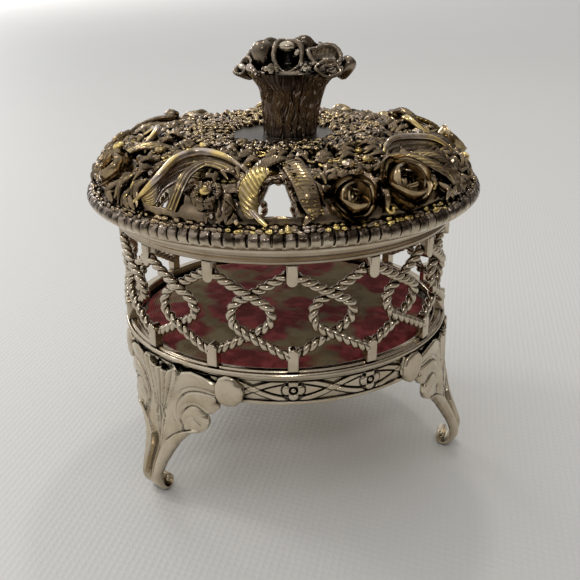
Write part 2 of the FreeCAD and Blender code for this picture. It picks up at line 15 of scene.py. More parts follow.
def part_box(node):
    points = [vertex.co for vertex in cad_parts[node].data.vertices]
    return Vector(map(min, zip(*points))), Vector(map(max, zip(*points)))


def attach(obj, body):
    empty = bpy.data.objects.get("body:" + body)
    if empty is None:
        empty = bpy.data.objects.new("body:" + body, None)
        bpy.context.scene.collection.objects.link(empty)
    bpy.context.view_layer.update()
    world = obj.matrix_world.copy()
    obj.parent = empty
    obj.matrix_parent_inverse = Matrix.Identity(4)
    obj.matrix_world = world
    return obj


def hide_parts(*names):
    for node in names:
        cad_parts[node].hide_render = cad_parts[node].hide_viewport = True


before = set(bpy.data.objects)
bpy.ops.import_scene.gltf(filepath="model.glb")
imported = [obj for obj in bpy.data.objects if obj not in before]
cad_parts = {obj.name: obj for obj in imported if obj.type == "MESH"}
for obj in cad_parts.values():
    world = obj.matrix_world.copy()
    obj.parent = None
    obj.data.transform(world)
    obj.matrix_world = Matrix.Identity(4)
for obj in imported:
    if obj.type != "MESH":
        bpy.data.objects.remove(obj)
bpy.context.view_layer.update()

MM = 0.001
TAU = 2 * math.pi


# ---------------------------------------------------------------- sizes read from the frame
def span(node):
    """Reach from the axis, lowest and highest height of a CAD node, in millimetres."""
    low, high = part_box(node)
    return max(high.x, -low.x, high.y, -low.y) / MM, low.z / MM, high.z / MM


RIM_R, RIM_LOW, RIM_TOP = span("lid_rim")
RING_R, RING_LOW, RING_TOP = span("top_ring")
RAIL_R, RAIL_LOW, RAIL_TOP = span("rail_ring")
BAND_R, BAND_LOW, BAND_TOP = span("base_band")
SHELL_R, SHELL_LOW, SHELL_TOP = span("lid_openwork")
DISC_R = span("lid_centre_disc")[0]
STEM_LOW, STEM_TOP = span("knob_stem")[1:]
PAD_R, PAD_LOW, PAD_TOP = span("pad_cover")
POST_R, POST_TIP, POST_TOP = span("upper_posts")
LOW_POST_R, LOW_POST_FOOT, LOW_POST_TIP = span("lower_posts")
ROPE_LOW, ROPE_TOP = span("rope_strands_right")[1:]
FOOT_TOP = span("foot_back")[2]
EYE_Z = (ROPE_LOW + ROPE_TOP) / 2
BAYS = 14
BAY_TURN = 360.0 / BAYS
KEYHOLES = (-17.0, 103.0, 223.0)
WINDOWS = (-50.0, 70.0, 190.0)
FEET = {"foot_right": 57.6, "foot_back": 180.0, "foot_left": 300.0}


# ---------------------------------------------------------------- points and meshes
def stacked(*parts):
    """Arrays spread over each other and put side by side on a new last axis."""
    return np.stack(np.broadcast_arrays(*parts), -1)


def even_turns(count, whole=TAU):
    """Angles evenly round the circle, in radians, or in degrees if whole is 360."""
    return np.linspace(0, whole, count, endpoint=False)


def circle(turn):
    """Points of a circle of radius 1 at angles in radians."""
    return stacked(np.cos(turn), np.sin(turn))


def around(angle, radius, height):
    """Points at angles from -Y in degrees, distances from the axis and heights."""
    turn = np.radians(np.asarray(angle, float))
    radius = np.asarray(radius, float)
    height = np.asarray(height, float)
    return stacked(radius * np.sin(turn), -radius * np.cos(turn), height)


def unit(vectors):
    return vectors / np.maximum(np.linalg.norm(vectors, axis=-1, keepdims=True), 1e-12)


def smooth_step(low, high, value):
    share = np.clip((np.asarray(value, float) - low) / (high - low), 0, 1)
    return share * share * (3 - 2 * share)


def turn_about_axis(points, angle):
    turn = math.radians(angle)
    matrix = np.array([[math.cos(turn), -math.sin(turn), 0],
                       [math.sin(turn), math.cos(turn), 0], [0, 0, 1]])
    return points @ matrix.T


class Shape:
    """Vertices and faces gathered for one piece, in millimetres."""

    def __init__(self):
        self.points = []
        self.faces = []
        self.count = 0

    def add(self, points, faces):
        self.faces.extend((np.asarray(faces) + self.count).tolist())
        self.points.append(points)
        self.count += len(points)

    def grid(self, points, wrap_u=False, wrap_v=False):
        """A sheet of quads over points[u, v]."""
        rows, cols = points.shape[:2]
        u = np.repeat(np.arange(rows if wrap_u else rows - 1), cols if wrap_v else cols - 1)
        v = np.tile(np.arange(cols if wrap_v else cols - 1), rows if wrap_u else rows - 1)
        next_u, next_v = (u + 1) % rows, (v + 1) % cols
        quads = stacked(u * cols + v, next_u * cols + v, next_u * cols + next_v, u * cols + next_v)
        self.add(points.reshape(-1, 3), quads)

    def tube(self, points):
        """A closed tube over rings[u, v]: each ring wraps, and both ends get a fan."""
        rows, cols = points.shape[:2]
        base = self.count
        ring = np.arange(cols)
        self.grid(points, wrap_v=True)
        for row, order in ((0, -1), (rows - 1, 1)):
            first = base + row * cols
            fan = stacked(first + ring, first + (ring + 1) % cols, self.count)[:, ::order]
            self.faces.extend(fan.tolist())
            self.points.append(points[row].mean(0, keepdims=True))
            self.count += 1

    def merge(self, other, angle):
        """Add another shape, turned about the jar's axis."""
        points = turn_about_axis(np.concatenate(other.points), angle)
        self.faces.extend([[index + self.count for index in face] for face in other.faces])
        self.points.append(points)
        self.count += len(points)

    def mesh(self, name):
        mesh = bpy.data.meshes.new(name)
        mesh.from_pydata((np.concatenate(self.points) * MM).tolist(), [], self.faces)
        mesh.validate()
        mesh.shade_smooth()
        return mesh


def placed(name, data):
    """A new object in the scene."""
    item = bpy.data.objects.new(name, data)
    bpy.context.scene.collection.objects.link(item)
    return item


def show(name, shape, body, material, stands_for):
    """Make a piece of a shape, or of a mesh, that rides on a body."""
    item = placed(name, shape.mesh(name) if isinstance(shape, Shape) else shape)
    item.data.materials.clear()
    item.data.materials.append(material)
    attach(item, body)
    if stands_for:
        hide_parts(*stands_for)
    return item


def lid_piece(name, shape, material, *stands_for):
    return show(name, shape, "lid", material, stands_for)


def basket_piece(name, shape, material, *stands_for):
    return show(name, shape, "basket", material, stands_for)


def copies(one, angles):
    """A shape repeated at several angles about the jar's axis."""
    shape = Shape()
    for angle in angles:
        shape.merge(one, angle)
    return shape


def evaluated_mesh(item):
    """A new mesh of an object with its modifiers applied."""
    return bpy.data.meshes.new_from_object(item.evaluated_get(bpy.context.evaluated_depsgraph_get()))


def swept(path, outward, sections):
    """Rings of points: sections[u, v] holds offsets sideways and outward from path[u]."""
    along = unit(np.gradient(path, axis=0))
    side = unit(np.cross(along, outward))
    out = unit(np.cross(side, along))
    return (path[:, None, :] + sections[..., :1] * side[:, None, :]
            + sections[..., 1:] * out[:, None, :])


def circle_sections(radii, sides):
    """Round sections of the given radii for swept()."""
    return np.asarray(radii, float)[:, None, None] * circle(even_turns(sides))[None]


def path_lengths(path):
    """Length along a path up to each of its points."""
    return np.concatenate([[0], np.cumsum(np.linalg.norm(np.diff(path, axis=0), axis=1))])


def interpolated(places, marks, rows):
    """Rows of values read at places between the marks they stand at."""
    return np.stack([np.interp(places, marks, column) for column in rows.T], -1)


def resampled(path, step):
    """The path at even steps along its length."""
    lengths = path_lengths(path)
    count = max(4, int(round(lengths[-1] / step)) + 1)
    return interpolated(np.linspace(0, lengths[-1], count), lengths, path)


def ball(shape, centre, radius, sides=8, squash=1.0, axis=None):
    """A small ball, flattened along its axis if asked."""
    tilt = np.linspace(0, math.pi, sides // 2 + 1)[1:-1, None]
    ring = circle(even_turns(sides))
    points = radius * stacked(np.sin(tilt) * ring[:, 0], np.sin(tilt) * ring[:, 1],
                              squash * np.cos(tilt))
    if axis is not None:
        points = points @ basis(axis).T
    shape.tube(points + centre)


def basis(axis):
    """Columns: two directions across an axis, then the axis."""
    axis = unit(np.asarray(axis, float))
    ahead = np.array([0.0, 1.0, 0.0] if abs(axis[2]) > 0.98 else [0.0, 0.0, 1.0])
    across = unit(np.cross(ahead, axis))
    return np.stack([across, np.cross(axis, across), axis], -1)


def fbm(points, scale, octaves=3):
    """Soft noise, about -1 to 1, at points in millimetres."""
    flat = np.asarray(points, float).reshape(-1, 3) * scale
    values = [noise.fractal(Vector(p), 0.6, 2.0, octaves) for p in flat]
    return np.array(values).reshape(np.asarray(points).shape[:-1])


def revolved(profile, angles):
    """Points[u, v] of a profile of (radius, height) rows turned to each angle."""
    return around(angles[:, None], profile[None, :, 0], profile[None, :, 1])


def rounded_profile(corners, step=0.25, passes=3):
    """A closed profile with its corners softened."""
    points = resampled(np.array(list(corners) + [corners[0]], float), step)[:-1]
    for _ in range(passes):
        points = (np.roll(points, 1, 0) + 2 * points + np.roll(points, -1, 0)) / 4
    return points


def columns(table):
    """Each column of a table, standing upright so that it spreads over a row of angles."""
    return [column[:, None] for column in np.array(table, float).T]


# ---------------------------------------------------------------- materials
class Nodes:
    """Short calls for building the node tree of a material or a world."""

    def __init__(self, owner, coordinates="Object"):
        owner.use_nodes = True
        self.owner = owner
        self.tree = owner.node_tree
        self.place = self.make("ShaderNodeTexCoord").outputs[coordinates]

    def feed(self, socket, value):
        """Link an output to a socket, or set the socket's constant."""
        if isinstance(value, bpy.types.NodeSocket):
            self.tree.links.new(value, socket)
        else:
            socket.default_value = (*value, 1.0) if socket.type == "RGBA" else value

    def make(self, kind, inputs=None, **settings):
        """A node with its settings, and a value or an output for each input named."""
        node = self.tree.nodes.new(kind)
        for key, value in settings.items():
            setattr(node, key, value)
        for key, value in (inputs or {}).items():
            self.feed(node.inputs[key], value)
        return node

    def noise(self, scale, detail=4.0):
        inputs = {"Vector": self.place, "Scale": scale, "Detail": detail, "Roughness": 0.55}
        return self.make("ShaderNodeTexNoise", inputs).outputs["Fac"]

    def cells(self, scale, randomness=1.0, place=None):
        inputs = {"Vector": place or self.place, "Scale": scale, "Randomness": randomness}
        return self.make("ShaderNodeTexVoronoi", inputs).outputs["Distance"]

    def ramp(self, value, low, high, start=0.0, end=1.0):
        inputs = {"Value": value, "From Min": low, "From Max": high, "To Min": start, "To Max": end}
        return self.make("ShaderNodeMapRange", inputs, interpolation_type="SMOOTHSTEP").outputs["Result"]

    def math(self, operation, first, second):
        return self.make("ShaderNodeMath", {0: first, 1: second}, operation=operation).outputs[0]

    def scaled(self, value, factor):
        return self.math("MULTIPLY", value, factor)

    def mix(self, share, first, second):
        node = self.make("ShaderNodeMix", {0: share}, data_type="RGBA")
        colours = [socket for socket in node.inputs if socket.type == "RGBA"]
        for socket, value in zip(colours, (first, second)):
            self.feed(socket, value)
        return next(socket for socket in node.outputs if socket.type == "RGBA")

    def recess(self, distance):
        """Near 0 in narrow recesses and 1 in the open."""
        node = self.make("ShaderNodeAmbientOcclusion", {"Distance": distance * MM}, samples=8)
        return node.outputs["AO"]

    def edge(self):
        return self.make("ShaderNodeNewGeometry").outputs["Pointiness"]

    def bump(self, height, depth, under=None):
        node = self.make("ShaderNodeBump", {"Distance": depth * MM, "Height": height})
        if under is not None:
            self.feed(node.inputs["Normal"], under)
        return node.outputs["Normal"]

    def finish(self, colour, rough, normal, metallic=0.0):
        values = {"Base Color": colour, "Roughness": rough, "Metallic": metallic, "Normal": normal}
        for key, value in values.items():
            self.feed(self.tree.nodes["Principled BSDF"].inputs[key], value)
        return self.owner


def material_nodes(name):
    return Nodes(bpy.data.materials.new(name))


def plated(name, bright, tarnish_and_shade, reach, recess_from, recess_to, rough, fade=None):
    """Bright plate: darkened in the recesses by ambient occlusion, partly tarnish and partly painted shade,
    with cloudy tarnish; fade is a height range it darkens over, partly tarnish and partly painted shade.
    """
    nodes = material_nodes(name)
    # Ambient occlusion darkens the recesses: partly tarnish, partly painted shade.
    open_share = nodes.ramp(nodes.recess(reach), recess_from, recess_to)
    cloud = nodes.ramp(nodes.noise(160.0), 0.35, 0.7)
    dulled = tuple(0.62 * c ** (1 + 0.2 * i) for i, c in enumerate(bright))
    worn = nodes.mix(nodes.scaled(cloud, 0.45), bright, dulled)
    # Darker towards the top, with blotches: partly tarnish, partly painted shade.
    if fade is not None:
        split = nodes.make("ShaderNodeSeparateXYZ", {0: nodes.place})
        wander = nodes.scaled(nodes.noise(330.0), 2.2 * MM)
        height = nodes.math("ADD", split.outputs["Z"], wander)
        spots = nodes.ramp(nodes.noise(420.0), 0.45, 0.58)
        blotch = nodes.mix(spots, (0.070, 0.050, 0.034), (0.34, 0.27, 0.21))
        worn = nodes.mix(nodes.ramp(height, fade[0] * MM, fade[1] * MM), worn, blotch)
    # Recess colour mixed in here: partly tarnish, partly painted shade.
    colour = nodes.mix(open_share, tarnish_and_shade, worn)
    speckle = nodes.noise(2600.0, detail=3.0)
    dull = nodes.math("ADD", nodes.scaled(cloud, 0.6), nodes.scaled(speckle, 0.4))
    roughness = nodes.ramp(dull, 0.2, 0.9, rough, rough + 0.16)
    pits = nodes.bump(nodes.noise(900.0, detail=5.0), 0.03)
    return nodes.finish(colour, roughness, pits, metallic=1.0)


def antiqued(name, dark, brown, gold, gold_from, gold_to, patches=170.0, shade=(0.34, 0.96),
             grit=0.05, rough=(0.11, 0.30), cloudy=1.9, reach=2.2):
    """Cast metal darkened in the hollows, partly black wash and partly painted shade, with gold on the high
    places, partly rubbed gilding and partly painted highlight.
    """
    nodes = material_nodes(name)
    # Ambient occlusion darkens the hollows: partly black wash, partly painted shade.
    open_share = nodes.ramp(nodes.recess(reach), *shade)
    patch = nodes.ramp(nodes.noise(patches, detail=5.0), 0.36, 0.54)
    rub = nodes.noise(900.0, detail=6.0)
    # Gold on edges and high spots: partly rubbed gilding, partly painted highlight and glint.
    high = nodes.ramp(nodes.math("ADD", nodes.edge(), nodes.scaled(rub, 0.05)), gold_from, gold_to)
    lit = nodes.math("MULTIPLY", high, nodes.math("ADD", nodes.scaled(patch, 0.85), 0.15))
    rubbed_gold_and_glint = nodes.mix(nodes.ramp(nodes.noise(95.0), 0.50, 0.60), gold, (0.66, 0.54, 0.46))
    tone = nodes.ramp(nodes.noise(260.0, detail=3.0), 0.35, 0.68)
    body = nodes.mix(tone, brown, tuple(cloudy * c for c in brown))
    colour = nodes.mix(open_share, dark, nodes.mix(lit, body, rubbed_gold_and_glint))
    lumps = nodes.bump(nodes.noise(420.0), grit)
    grain = nodes.bump(nodes.noise(1500.0), 0.4 * grit, lumps)
    return nodes.finish(colour, nodes.ramp(rub, 0.3, 0.75, *rough), grain, metallic=1.0)


def floral_cloth(name):
    """Printed cotton: dusky red roses with darker petals on a khaki ground, fine weave."""
    nodes = material_nodes(name)
    warp = nodes.make("ShaderNodeTexNoise", {"Vector": nodes.place, "Scale": 90.0})
    drift = nodes.make("ShaderNodeMixRGB", {0: 0.012, 1: nodes.place, 2: warp.outputs["Color"]},
                       blend_type="LINEAR_LIGHT").outputs[0]
    bloom = nodes.ramp(nodes.cells(50.0, place=drift), 0.57, 0.75, 1.0, 0.0)
    petal_share = nodes.ramp(nodes.cells(230.0, place=drift), 0.2, 0.62)
    shade = nodes.ramp(nodes.noise(230.0, detail=6.0), 0.38, 0.62)
    red = nodes.mix(petal_share, (0.29, 0.045, 0.044), (0.54, 0.105, 0.100))
    red = nodes.mix(shade, red, (0.27, 0.048, 0.047))
    ground = nodes.mix(shade, (0.30, 0.222, 0.115), (0.42, 0.328, 0.185))
    leaves = nodes.ramp(nodes.cells(120.0), 0.16, 0.24, 1.0, 0.0)
    ground = nodes.mix(nodes.scaled(leaves, 0.5), ground, (0.20, 0.20, 0.12))
    thread = {"Vector": nodes.place, "Scale": 620.0, "Distortion": 0.6}
    warp_weft = [nodes.make("ShaderNodeTexWave", thread, bands_direction=way).outputs["Fac"]
                 for way in ("X", "Y")]
    shader = nodes.tree.nodes["Principled BSDF"]
    shader.inputs["Sheen Weight"].default_value = 0.04
    shader.inputs["Specular IOR Level"].default_value = 0.15
    weave = nodes.bump(nodes.math("MULTIPLY", *warp_weft), 0.12)
    return nodes.finish(nodes.mix(bloom, ground, red), 0.85, weave)


def plain(name, colour, rough, metallic=0.0, grain=400.0):
    """A plain surface with a little mottling and grain."""
    nodes = material_nodes(name)
    mottle = nodes.mix(nodes.noise(grain * 0.4), colour, tuple(0.8 * c for c in colour))
    return nodes.finish(mottle, rough, nodes.bump(nodes.noise(grain), 0.05), metallic)


# The second colour of each plate fills its recesses: partly tarnish, partly painted shade.
SILVER = plated("bright_silver_plate", (0.63, 0.545, 0.425), (0.022, 0.017, 0.013), 1.5, 0.40, 0.90,
                rough=0.07)
# A darker copy of the silver plate for the top ring: painted shade and dark reflection under the overhanging
# lid rim.
SHADED_RING_PLATE = plated("ring_plate", (0.44, 0.36, 0.265), (0.016, 0.012, 0.010), 1.6, 0.40, 0.95,
                    rough=0.07)
BAND_SILVER = plated("band_silver_plate", (0.60, 0.515, 0.395), (0.030, 0.024, 0.018), 1.7, 0.50, 0.96,
                     rough=0.12)
FOOT_SILVER = plated("foot_silver_plate", (0.64, 0.555, 0.425), (0.055, 0.056, 0.052), 1.1, 0.36, 0.90,
                     rough=0.18)
# The rim's upper part darkens over the fade heights: partly tarnish, partly painted shade.
RIM = plated("rim_plate", (0.64, 0.55, 0.42), (0.010, 0.008, 0.006), 1.1, 0.42, 0.84, rough=0.16,
             fade=(RIM_LOW + 3.5, RIM_LOW + 4.9))
# Antiqued metals: the first colour fills hollows (black wash and painted shade); the gold colour marks edges
# (rubbed gilding and painted highlight).
BRASS = antiqued("antique_brass", (0.050, 0.039, 0.027), (0.158, 0.115, 0.071), (1.0, 0.73, 0.28),
                 0.507, 0.567, grit=0.04, rough=(0.10, 0.26))
LEAF_GOLD = antiqued("rubbed_leaf_gold", (0.012, 0.009, 0.005), (0.24, 0.17, 0.062),
                     (0.96, 0.73, 0.28), 0.505, 0.575, patches=120.0, shade=(0.25, 0.85))
BARK = antiqued("bark_bronze", (0.026, 0.021, 0.018), (0.255, 0.197, 0.155), (0.66, 0.56, 0.50),
                0.58, 0.70, shade=(0.42, 0.94), grit=0.0, rough=(0.14, 0.26), cloudy=1.25)
# Reach 5.0 spreads the hollow darkening deep into the cups: painted shade.
HEAD_BRONZE = antiqued("knob_bronze", (0.022, 0.021, 0.022), (0.170, 0.135, 0.098), (0.78, 0.67, 0.52),
                       0.508, 0.57, patches=230.0, shade=(0.26, 0.86), grit=0.10, rough=(0.12, 0.30),
                       reach=5.0)
FINE_BRASS = antiqued("fine_antique_brass", (0.050, 0.040, 0.028), (0.185, 0.135, 0.090),
                      (0.84, 0.62, 0.30), 0.56, 0.68, grit=0.03, rough=(0.10, 0.26))
ROSE_BRASS = antiqued("rose_brass", (0.060, 0.046, 0.030), (0.255, 0.188, 0.108), (1.0, 0.77, 0.34),
                      0.504, 0.562, shade=(0.0, 0.60), grit=0.03, rough=(0.09, 0.24))
# Dark metal colour for the disc under the knob head.
DISC = plain("dark_disc", (0.145, 0.128, 0.108), 0.36, metallic=1.0, grain=500.0)
STEEL = plain("plain_steel", (0.55, 0.55, 0.54), 0.35, metallic=1.0)
BOARD = plain("fibre_board", (0.50, 0.42, 0.31), 0.9)
CLOTH = floral_cloth("floral_cotton")


# ---------------------------------------------------------------- lid: rim, shell and disc
# Lid's outer surface from the middle outwards, measured in and down from the shell's edge and top.
LID_RADII = SHELL_R - np.array([SHELL_R, 24.6, 14.6, 6.1, 2.0, 0.0, -1.8])
LID_HEIGHTS = SHELL_TOP - np.array([0.0, 0.0, 0.8, 2.6, 4.8, 8.0, 9.9])


def lid_z(radius):
    """Height of the lid's outer surface."""
    return np.interp(radius, LID_RADII, LID_HEIGHTS)


def on_lid(angle, radius, lift=0.0):
    """Points on the lid's outer surface, lifted along its normal."""
    radius = np.asarray(radius, float)
    slope = lid_z(radius + 0.5) - lid_z(radius - 0.5)
    length = np.hypot(slope, 1.0)
    return around(angle, radius - lift * slope / length, lid_z(radius) + lift / length)


def lid_normal(angle, radius):
    return unit(on_lid(angle, radius, 1.0) - on_lid(angle, radius))


def make_rim():
    """Rim of flat teeth with narrow dark grooves, and a row of beads inside its top."""
    teeth, samples = 120, 17
    profile = rounded_profile([
        (SHELL_R + 0.05, RIM_LOW + 0.9), (RIM_R - 1.6, RIM_LOW + 0.95), (RIM_R - 0.55, RIM_LOW + 1.8),
        (RIM_R + 0.10, RIM_LOW + 3.0), (RIM_R - 0.15, RIM_LOW + 4.2), (RIM_R - 0.9, RIM_TOP - 1.7),
        (SHELL_R + 0.05, RIM_TOP - 0.9)])
    angles = even_turns(teeth * samples, 360)
    height = profile[:, 1]
    reach = smooth_step(SHELL_R + 1.6, RIM_R - 0.9, profile[:, 0])
    reach = reach * smooth_step(RIM_LOW + 1.7, RIM_LOW + 2.4, height)
    phase = np.radians(angles) * teeth / 2
    groove = np.abs(np.cos(phase)) ** 30
    belly = 0.10 * np.abs(np.sin(phase)) ** 0.7
    points = revolved(profile, angles)
    outward = around(angles, 1.0, 0.0)
    uneven = 1 + 0.6 * fbm(outward * 30, 1.0)
    depth = (0.75 * groove * uneven)[:, None] * reach - belly[:, None] * reach
    wander = 0.10 * fbm(points, 0.55) * reach
    mottle = 0.45 * fbm(points, 1.0) * smooth_step(RIM_TOP - 2.6, RIM_TOP - 1.4, height)
    shape = Shape()
    shape.grid(points - (depth + wander + mottle)[..., None] * outward[:, None], True, True)
    show("lid_rim_gadroon", shape, "lid", RIM, ["lid_rim"])
    draw = random.Random(9)
    gilt, dull = Shape(), Shape()
    angle = -180.0
    while angle < 179.0:
        size = draw.uniform(0.4, 0.95)
        angle += math.degrees(size * draw.uniform(1.5, 2.6) / RIM_R)
        beads = gilt if -30 < angle < 34 and draw.random() < 0.75 else dull
        tangent = around(angle + 90 + draw.uniform(-25, 25), 1.0, draw.uniform(-0.3, 0.3))
        place = around(angle, RIM_R - 1.5 + draw.uniform(-0.35, 0.25),
                       RIM_TOP - 1.5 + draw.uniform(-0.3, 0.3))
        ball(beads, place, size * 0.8, 12, draw.uniform(1.0, 1.7), tangent)
        if draw.random() < 0.6:
            place = around(angle, RIM_R - 2.5 + draw.uniform(-0.4, 0.4), RIM_TOP - 0.9)
            ball(beads, place, draw.uniform(0.4, 0.75), 10, 1.3, tangent)
    lid_piece("lid_rim_beading", gilt, LEAF_GOLD)
    lid_piece("lid_rim_knurls", dull, FINE_BRASS)


def opening_outline(rows, turn):
    """A lid opening seen from above, from rows of distance from the axis and half width."""
    outline = rows + [(radius, -across) for radius, across in reversed(rows)]
    return turn_about_axis(np.array([[across, -radius, 0.0] for radius, across in outline]), turn)


def clean_object(name, shape):
    """An object of a shape, in metres, with its faces turned outwards."""
    mesh = shape.mesh(name)
    work = bmesh.new()
    work.from_mesh(mesh)
    bmesh.ops.recalc_face_normals(work, faces=work.faces)
    work.to_mesh(mesh)
    work.free()
    return placed(name, mesh)


def make_openwork():
    """Domed shell with a rough cast surface and six openings cut through it."""
    radii = np.linspace(DISC_R + 0.02, SHELL_R - 0.02, 120)
    angles = even_turns(720, 360)
    turn = angles[:, None]
    streaks = stacked(turn * 0.8, radii * 0.28, 0.0)
    relief = 0.4 * fbm(on_lid(turn, radii), 0.5, 4) - 0.35 + 0.6 * np.abs(fbm(streaks, 0.9, 2))
    relief = relief * smooth_step(DISC_R, DISC_R + 2, radii)
    relief = relief * (1 - smooth_step(SHELL_R - 1.5, SHELL_R - 0.2, radii))
    limit, depth = SHELL_R - 1.2, 1.56
    wall = [(SHELL_R - 0.02, SHELL_LOW + 0.02), (limit, SHELL_LOW + 0.02)]
    lining = zip(np.minimum(radii[::-1], limit), lid_z(radii[::-1]) - depth)
    inside = revolved(np.array(wall + list(lining)), angles)
    shape = Shape()
    shape.grid(np.concatenate([on_lid(turn, radii, relief), inside], axis=1), True, True)
    item = clean_object("shell_blank", shape)
    edge = SHELL_R - 0.3
    keyhole = [(36.6, 0.9), (37.4, 1.6), (40.0, 2.0), (42.6, 2.8), (44.6, 3.9), (edge, 4.4)]
    window = [(38.5, 0.9), (40.5, 2.3), (43.5, 3.0), (edge, 3.3)]
    cutter = Shape()
    for rows, places in ((keyhole, KEYHOLES), (window, WINDOWS)):
        for place in places:
            outline = opening_outline(rows, place)
            cutter.tube(np.stack([outline + [0, 0, SHELL_LOW + 6.0], outline + [0, 0, SHELL_TOP + 8]]))
    cut = item.modifiers.new("openings", "BOOLEAN")
    cut.operation = "DIFFERENCE"
    cut.object = clean_object("shell_knife", cutter)
    cut.solver = "EXACT"
    mesh = evaluated_mesh(item)
    mesh.name = "lid_openwork_shell"
    bpy.data.objects.remove(cut.object)
    bpy.data.objects.remove(item)
    lid_piece("lid_openwork_shell", mesh, FINE_BRASS, "lid_openwork")


# ---------------------------------------------------------------- lid: flowers and leaves
def petal(shape, centre, axis, radius, start, sweep, low, high, wall, flare, seed):
    """A thick petal lying on a sphere round an axis, between two latitudes in degrees."""
    across = np.linspace(-1, 1, 15)
    up = np.linspace(0, 1, 11)[:, None]
    top = high - (high - low) * 0.55 * np.abs(across) ** 3
    latitude = np.radians(low + (top - low) * up)
    turn = start + across * sweep / 2 + 0 * up
    ripple = 1 + 0.03 * np.sin(5 * across + seed) * up
    spread = radius * ripple * (1 + flare * up ** 3)
    outward = stacked(np.cos(latitude) * np.cos(turn), np.cos(latitude) * np.sin(turn), np.sin(latitude))
    lip = 1 + 0.35 * smooth_step(0.6, 0.85, up) * (1 - smooth_step(0.9, 1.0, up))
    thick = wall * lip * (1 - 0.6 * np.abs(across) ** 6)
    outside = outward * (spread + thick * 0.5)[..., None]
    inside = outward * (spread - thick * 0.5)[..., None]
    rings = np.concatenate([outside, inside[:, ::-1]], axis=1)
    shape.tube(rings @ basis(axis).T + centre)


def rose(shape, centre, axis, radius, seed):
    """A cabbage rose: a few fat rolled petals lapped round a three-cornered heart."""
    draw = random.Random(seed)
    axis = unit(np.asarray(axis, float))
    spin = draw.uniform(0, TAU)
    rounds = [(4, 1.0, 1.50, -25, 24, 0.24, 0.16), (3, 0.78, 1.55, -15, 46, 0.24, 0.04),
              (3, 0.52, 1.35, -5, 62, 0.20, 0.0), (2, 0.28, 1.3, 0, 74, 0.14, 0.0)]
    for count, size, lap, low, high, wall, flare in rounds:
        spin += draw.uniform(0.5, 1.0)
        for index in range(count):
            grow = draw.uniform(0.93, 1.05)
            petal(shape, centre, axis, size * radius * grow, spin + TAU * index / count,
                  TAU / count * lap, low, high + draw.uniform(-8, 8), wall * radius, flare,
                  draw.uniform(0, 6))
    ball(shape, centre + axis * 0.15 * radius, 0.2 * radius, 8)


def leaf(shape, path, outward, width, rib, fold, veins, vein_depth, thick, slant=0.16, tips=(0.35, 0.9)):
    """A leaf along a path: raised midrib, veins and a body of its own; tips shape its ends."""
    along = np.linspace(0, 1, len(path))[:, None]
    swell = np.sin(math.pi * along ** 0.8)
    half = width / 2 * np.maximum(swell, 0.0) ** tips[0] * (1 - (1 - tips[1]) * along)
    half = np.maximum(half, 0.15)
    scale = half / (width / 2)
    across = np.linspace(-1, 1, 15)
    bend = -fold * width * across ** 2
    crest = rib * np.exp(-(across / 0.16) ** 2)
    vein = vein_depth * np.cos(TAU * (veins * along + veins * slant * across))
    upper = stacked(across * half, (bend + crest) * scale + vein * scale + thick / 2)
    under = stacked(across[-2:0:-1] * half * 0.96, bend[-2:0:-1] * scale - thick / 2)
    shape.tube(swept(path, outward_of(outward, path), np.concatenate([upper, under], axis=1)))


def outward_of(outward, path):
    """Outward directions for every point of a path, from one or from a few along it."""
    outward = np.asarray(outward, float)
    if outward.ndim == 1:
        return np.broadcast_to(outward, path.shape)
    places = np.linspace(0, len(outward) - 1, len(path))
    return interpolated(places, np.arange(len(outward)), outward)


def spline(points, step):
    """Even points along the smooth curve through the given points."""
    points = np.asarray(points, float)
    ends = np.concatenate([[2 * points[0] - points[1]], points, [2 * points[-1] - points[-2]]])
    share = np.linspace(0, 1, 16, endpoint=False)[:, None]
    runs = []
    for a, b, c, d in zip(ends, ends[1:], ends[2:], ends[3:]):
        runs.append(0.5 * (2 * b + (c - a) * share + (2 * a - 5 * b + 4 * c - d) * share ** 2
                           + (3 * b - a - 3 * c + d) * share ** 3))
    return resampled(np.concatenate(runs + [points[-1:]]), step)


def lid_path(places, step=0.3, turn=0.0):
    """Path over the lid through (angle, distance from the axis, lift) places, and its normals."""
    angle, radius, lift = (np.array(places, float) + (turn, 0.0, 0.0)).T
    path = spline(on_lid(angle, radius, lift), step)
    return path, unit(outward_of(lid_normal(angle, radius), path))


def islands(node):
    """Centre and half width of each separate solid of a CAD node, in millimetres."""
    work = bmesh.new()
    work.from_mesh(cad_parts[node].data)
    bmesh.ops.remove_doubles(work, verts=work.verts, dist=1e-6)
    seen, found = set(), []
    for start in work.verts:
        if start.index in seen:
            continue
        group, queue = [], [start]
        seen.add(start.index)
        while queue:
            vertex = queue.pop()
            group.append(np.array(vertex.co) / MM)
            for edge in vertex.link_edges:
                other = edge.other_vert(vertex)
                if other.index not in seen:
                    seen.add(other.index)
                    queue.append(other)
        low, high = np.min(group, 0), np.max(group, 0)
        found.append(((low + high) / 2, (high - low) / 2))
    work.free()
    return found


def polar(point):
    """Angle from -Y in degrees and distance from the axis."""
    return math.degrees(math.atan2(point[0], -point[1])), math.hypot(point[0], point[1])


# The larger flowers seen from above: middle and half width.
FLOWERS = [(centre[:2], max(half[0], half[1])) for node in ("lid_roses", "lid_buds")
           for centre, half in islands(node)]


def make_roses():
    shape = Shape()
    for index, (centre, half) in enumerate(islands("lid_roses")):
        angle, radius = polar(centre)
        size = min(max(half) * 0.86, 5.2) * (0.8 if abs(angle) > 65 else 1.0)
        axis = unit(lid_normal(angle, radius) * 0.8 + around(angle, 0.45, 0.2))
        rose(shape, on_lid(angle, radius + 0.4, 0.1 * size), axis, size, 11 + index)
    lid_piece("lid_open_roses", shape, ROSE_BRASS, "lid_roses")


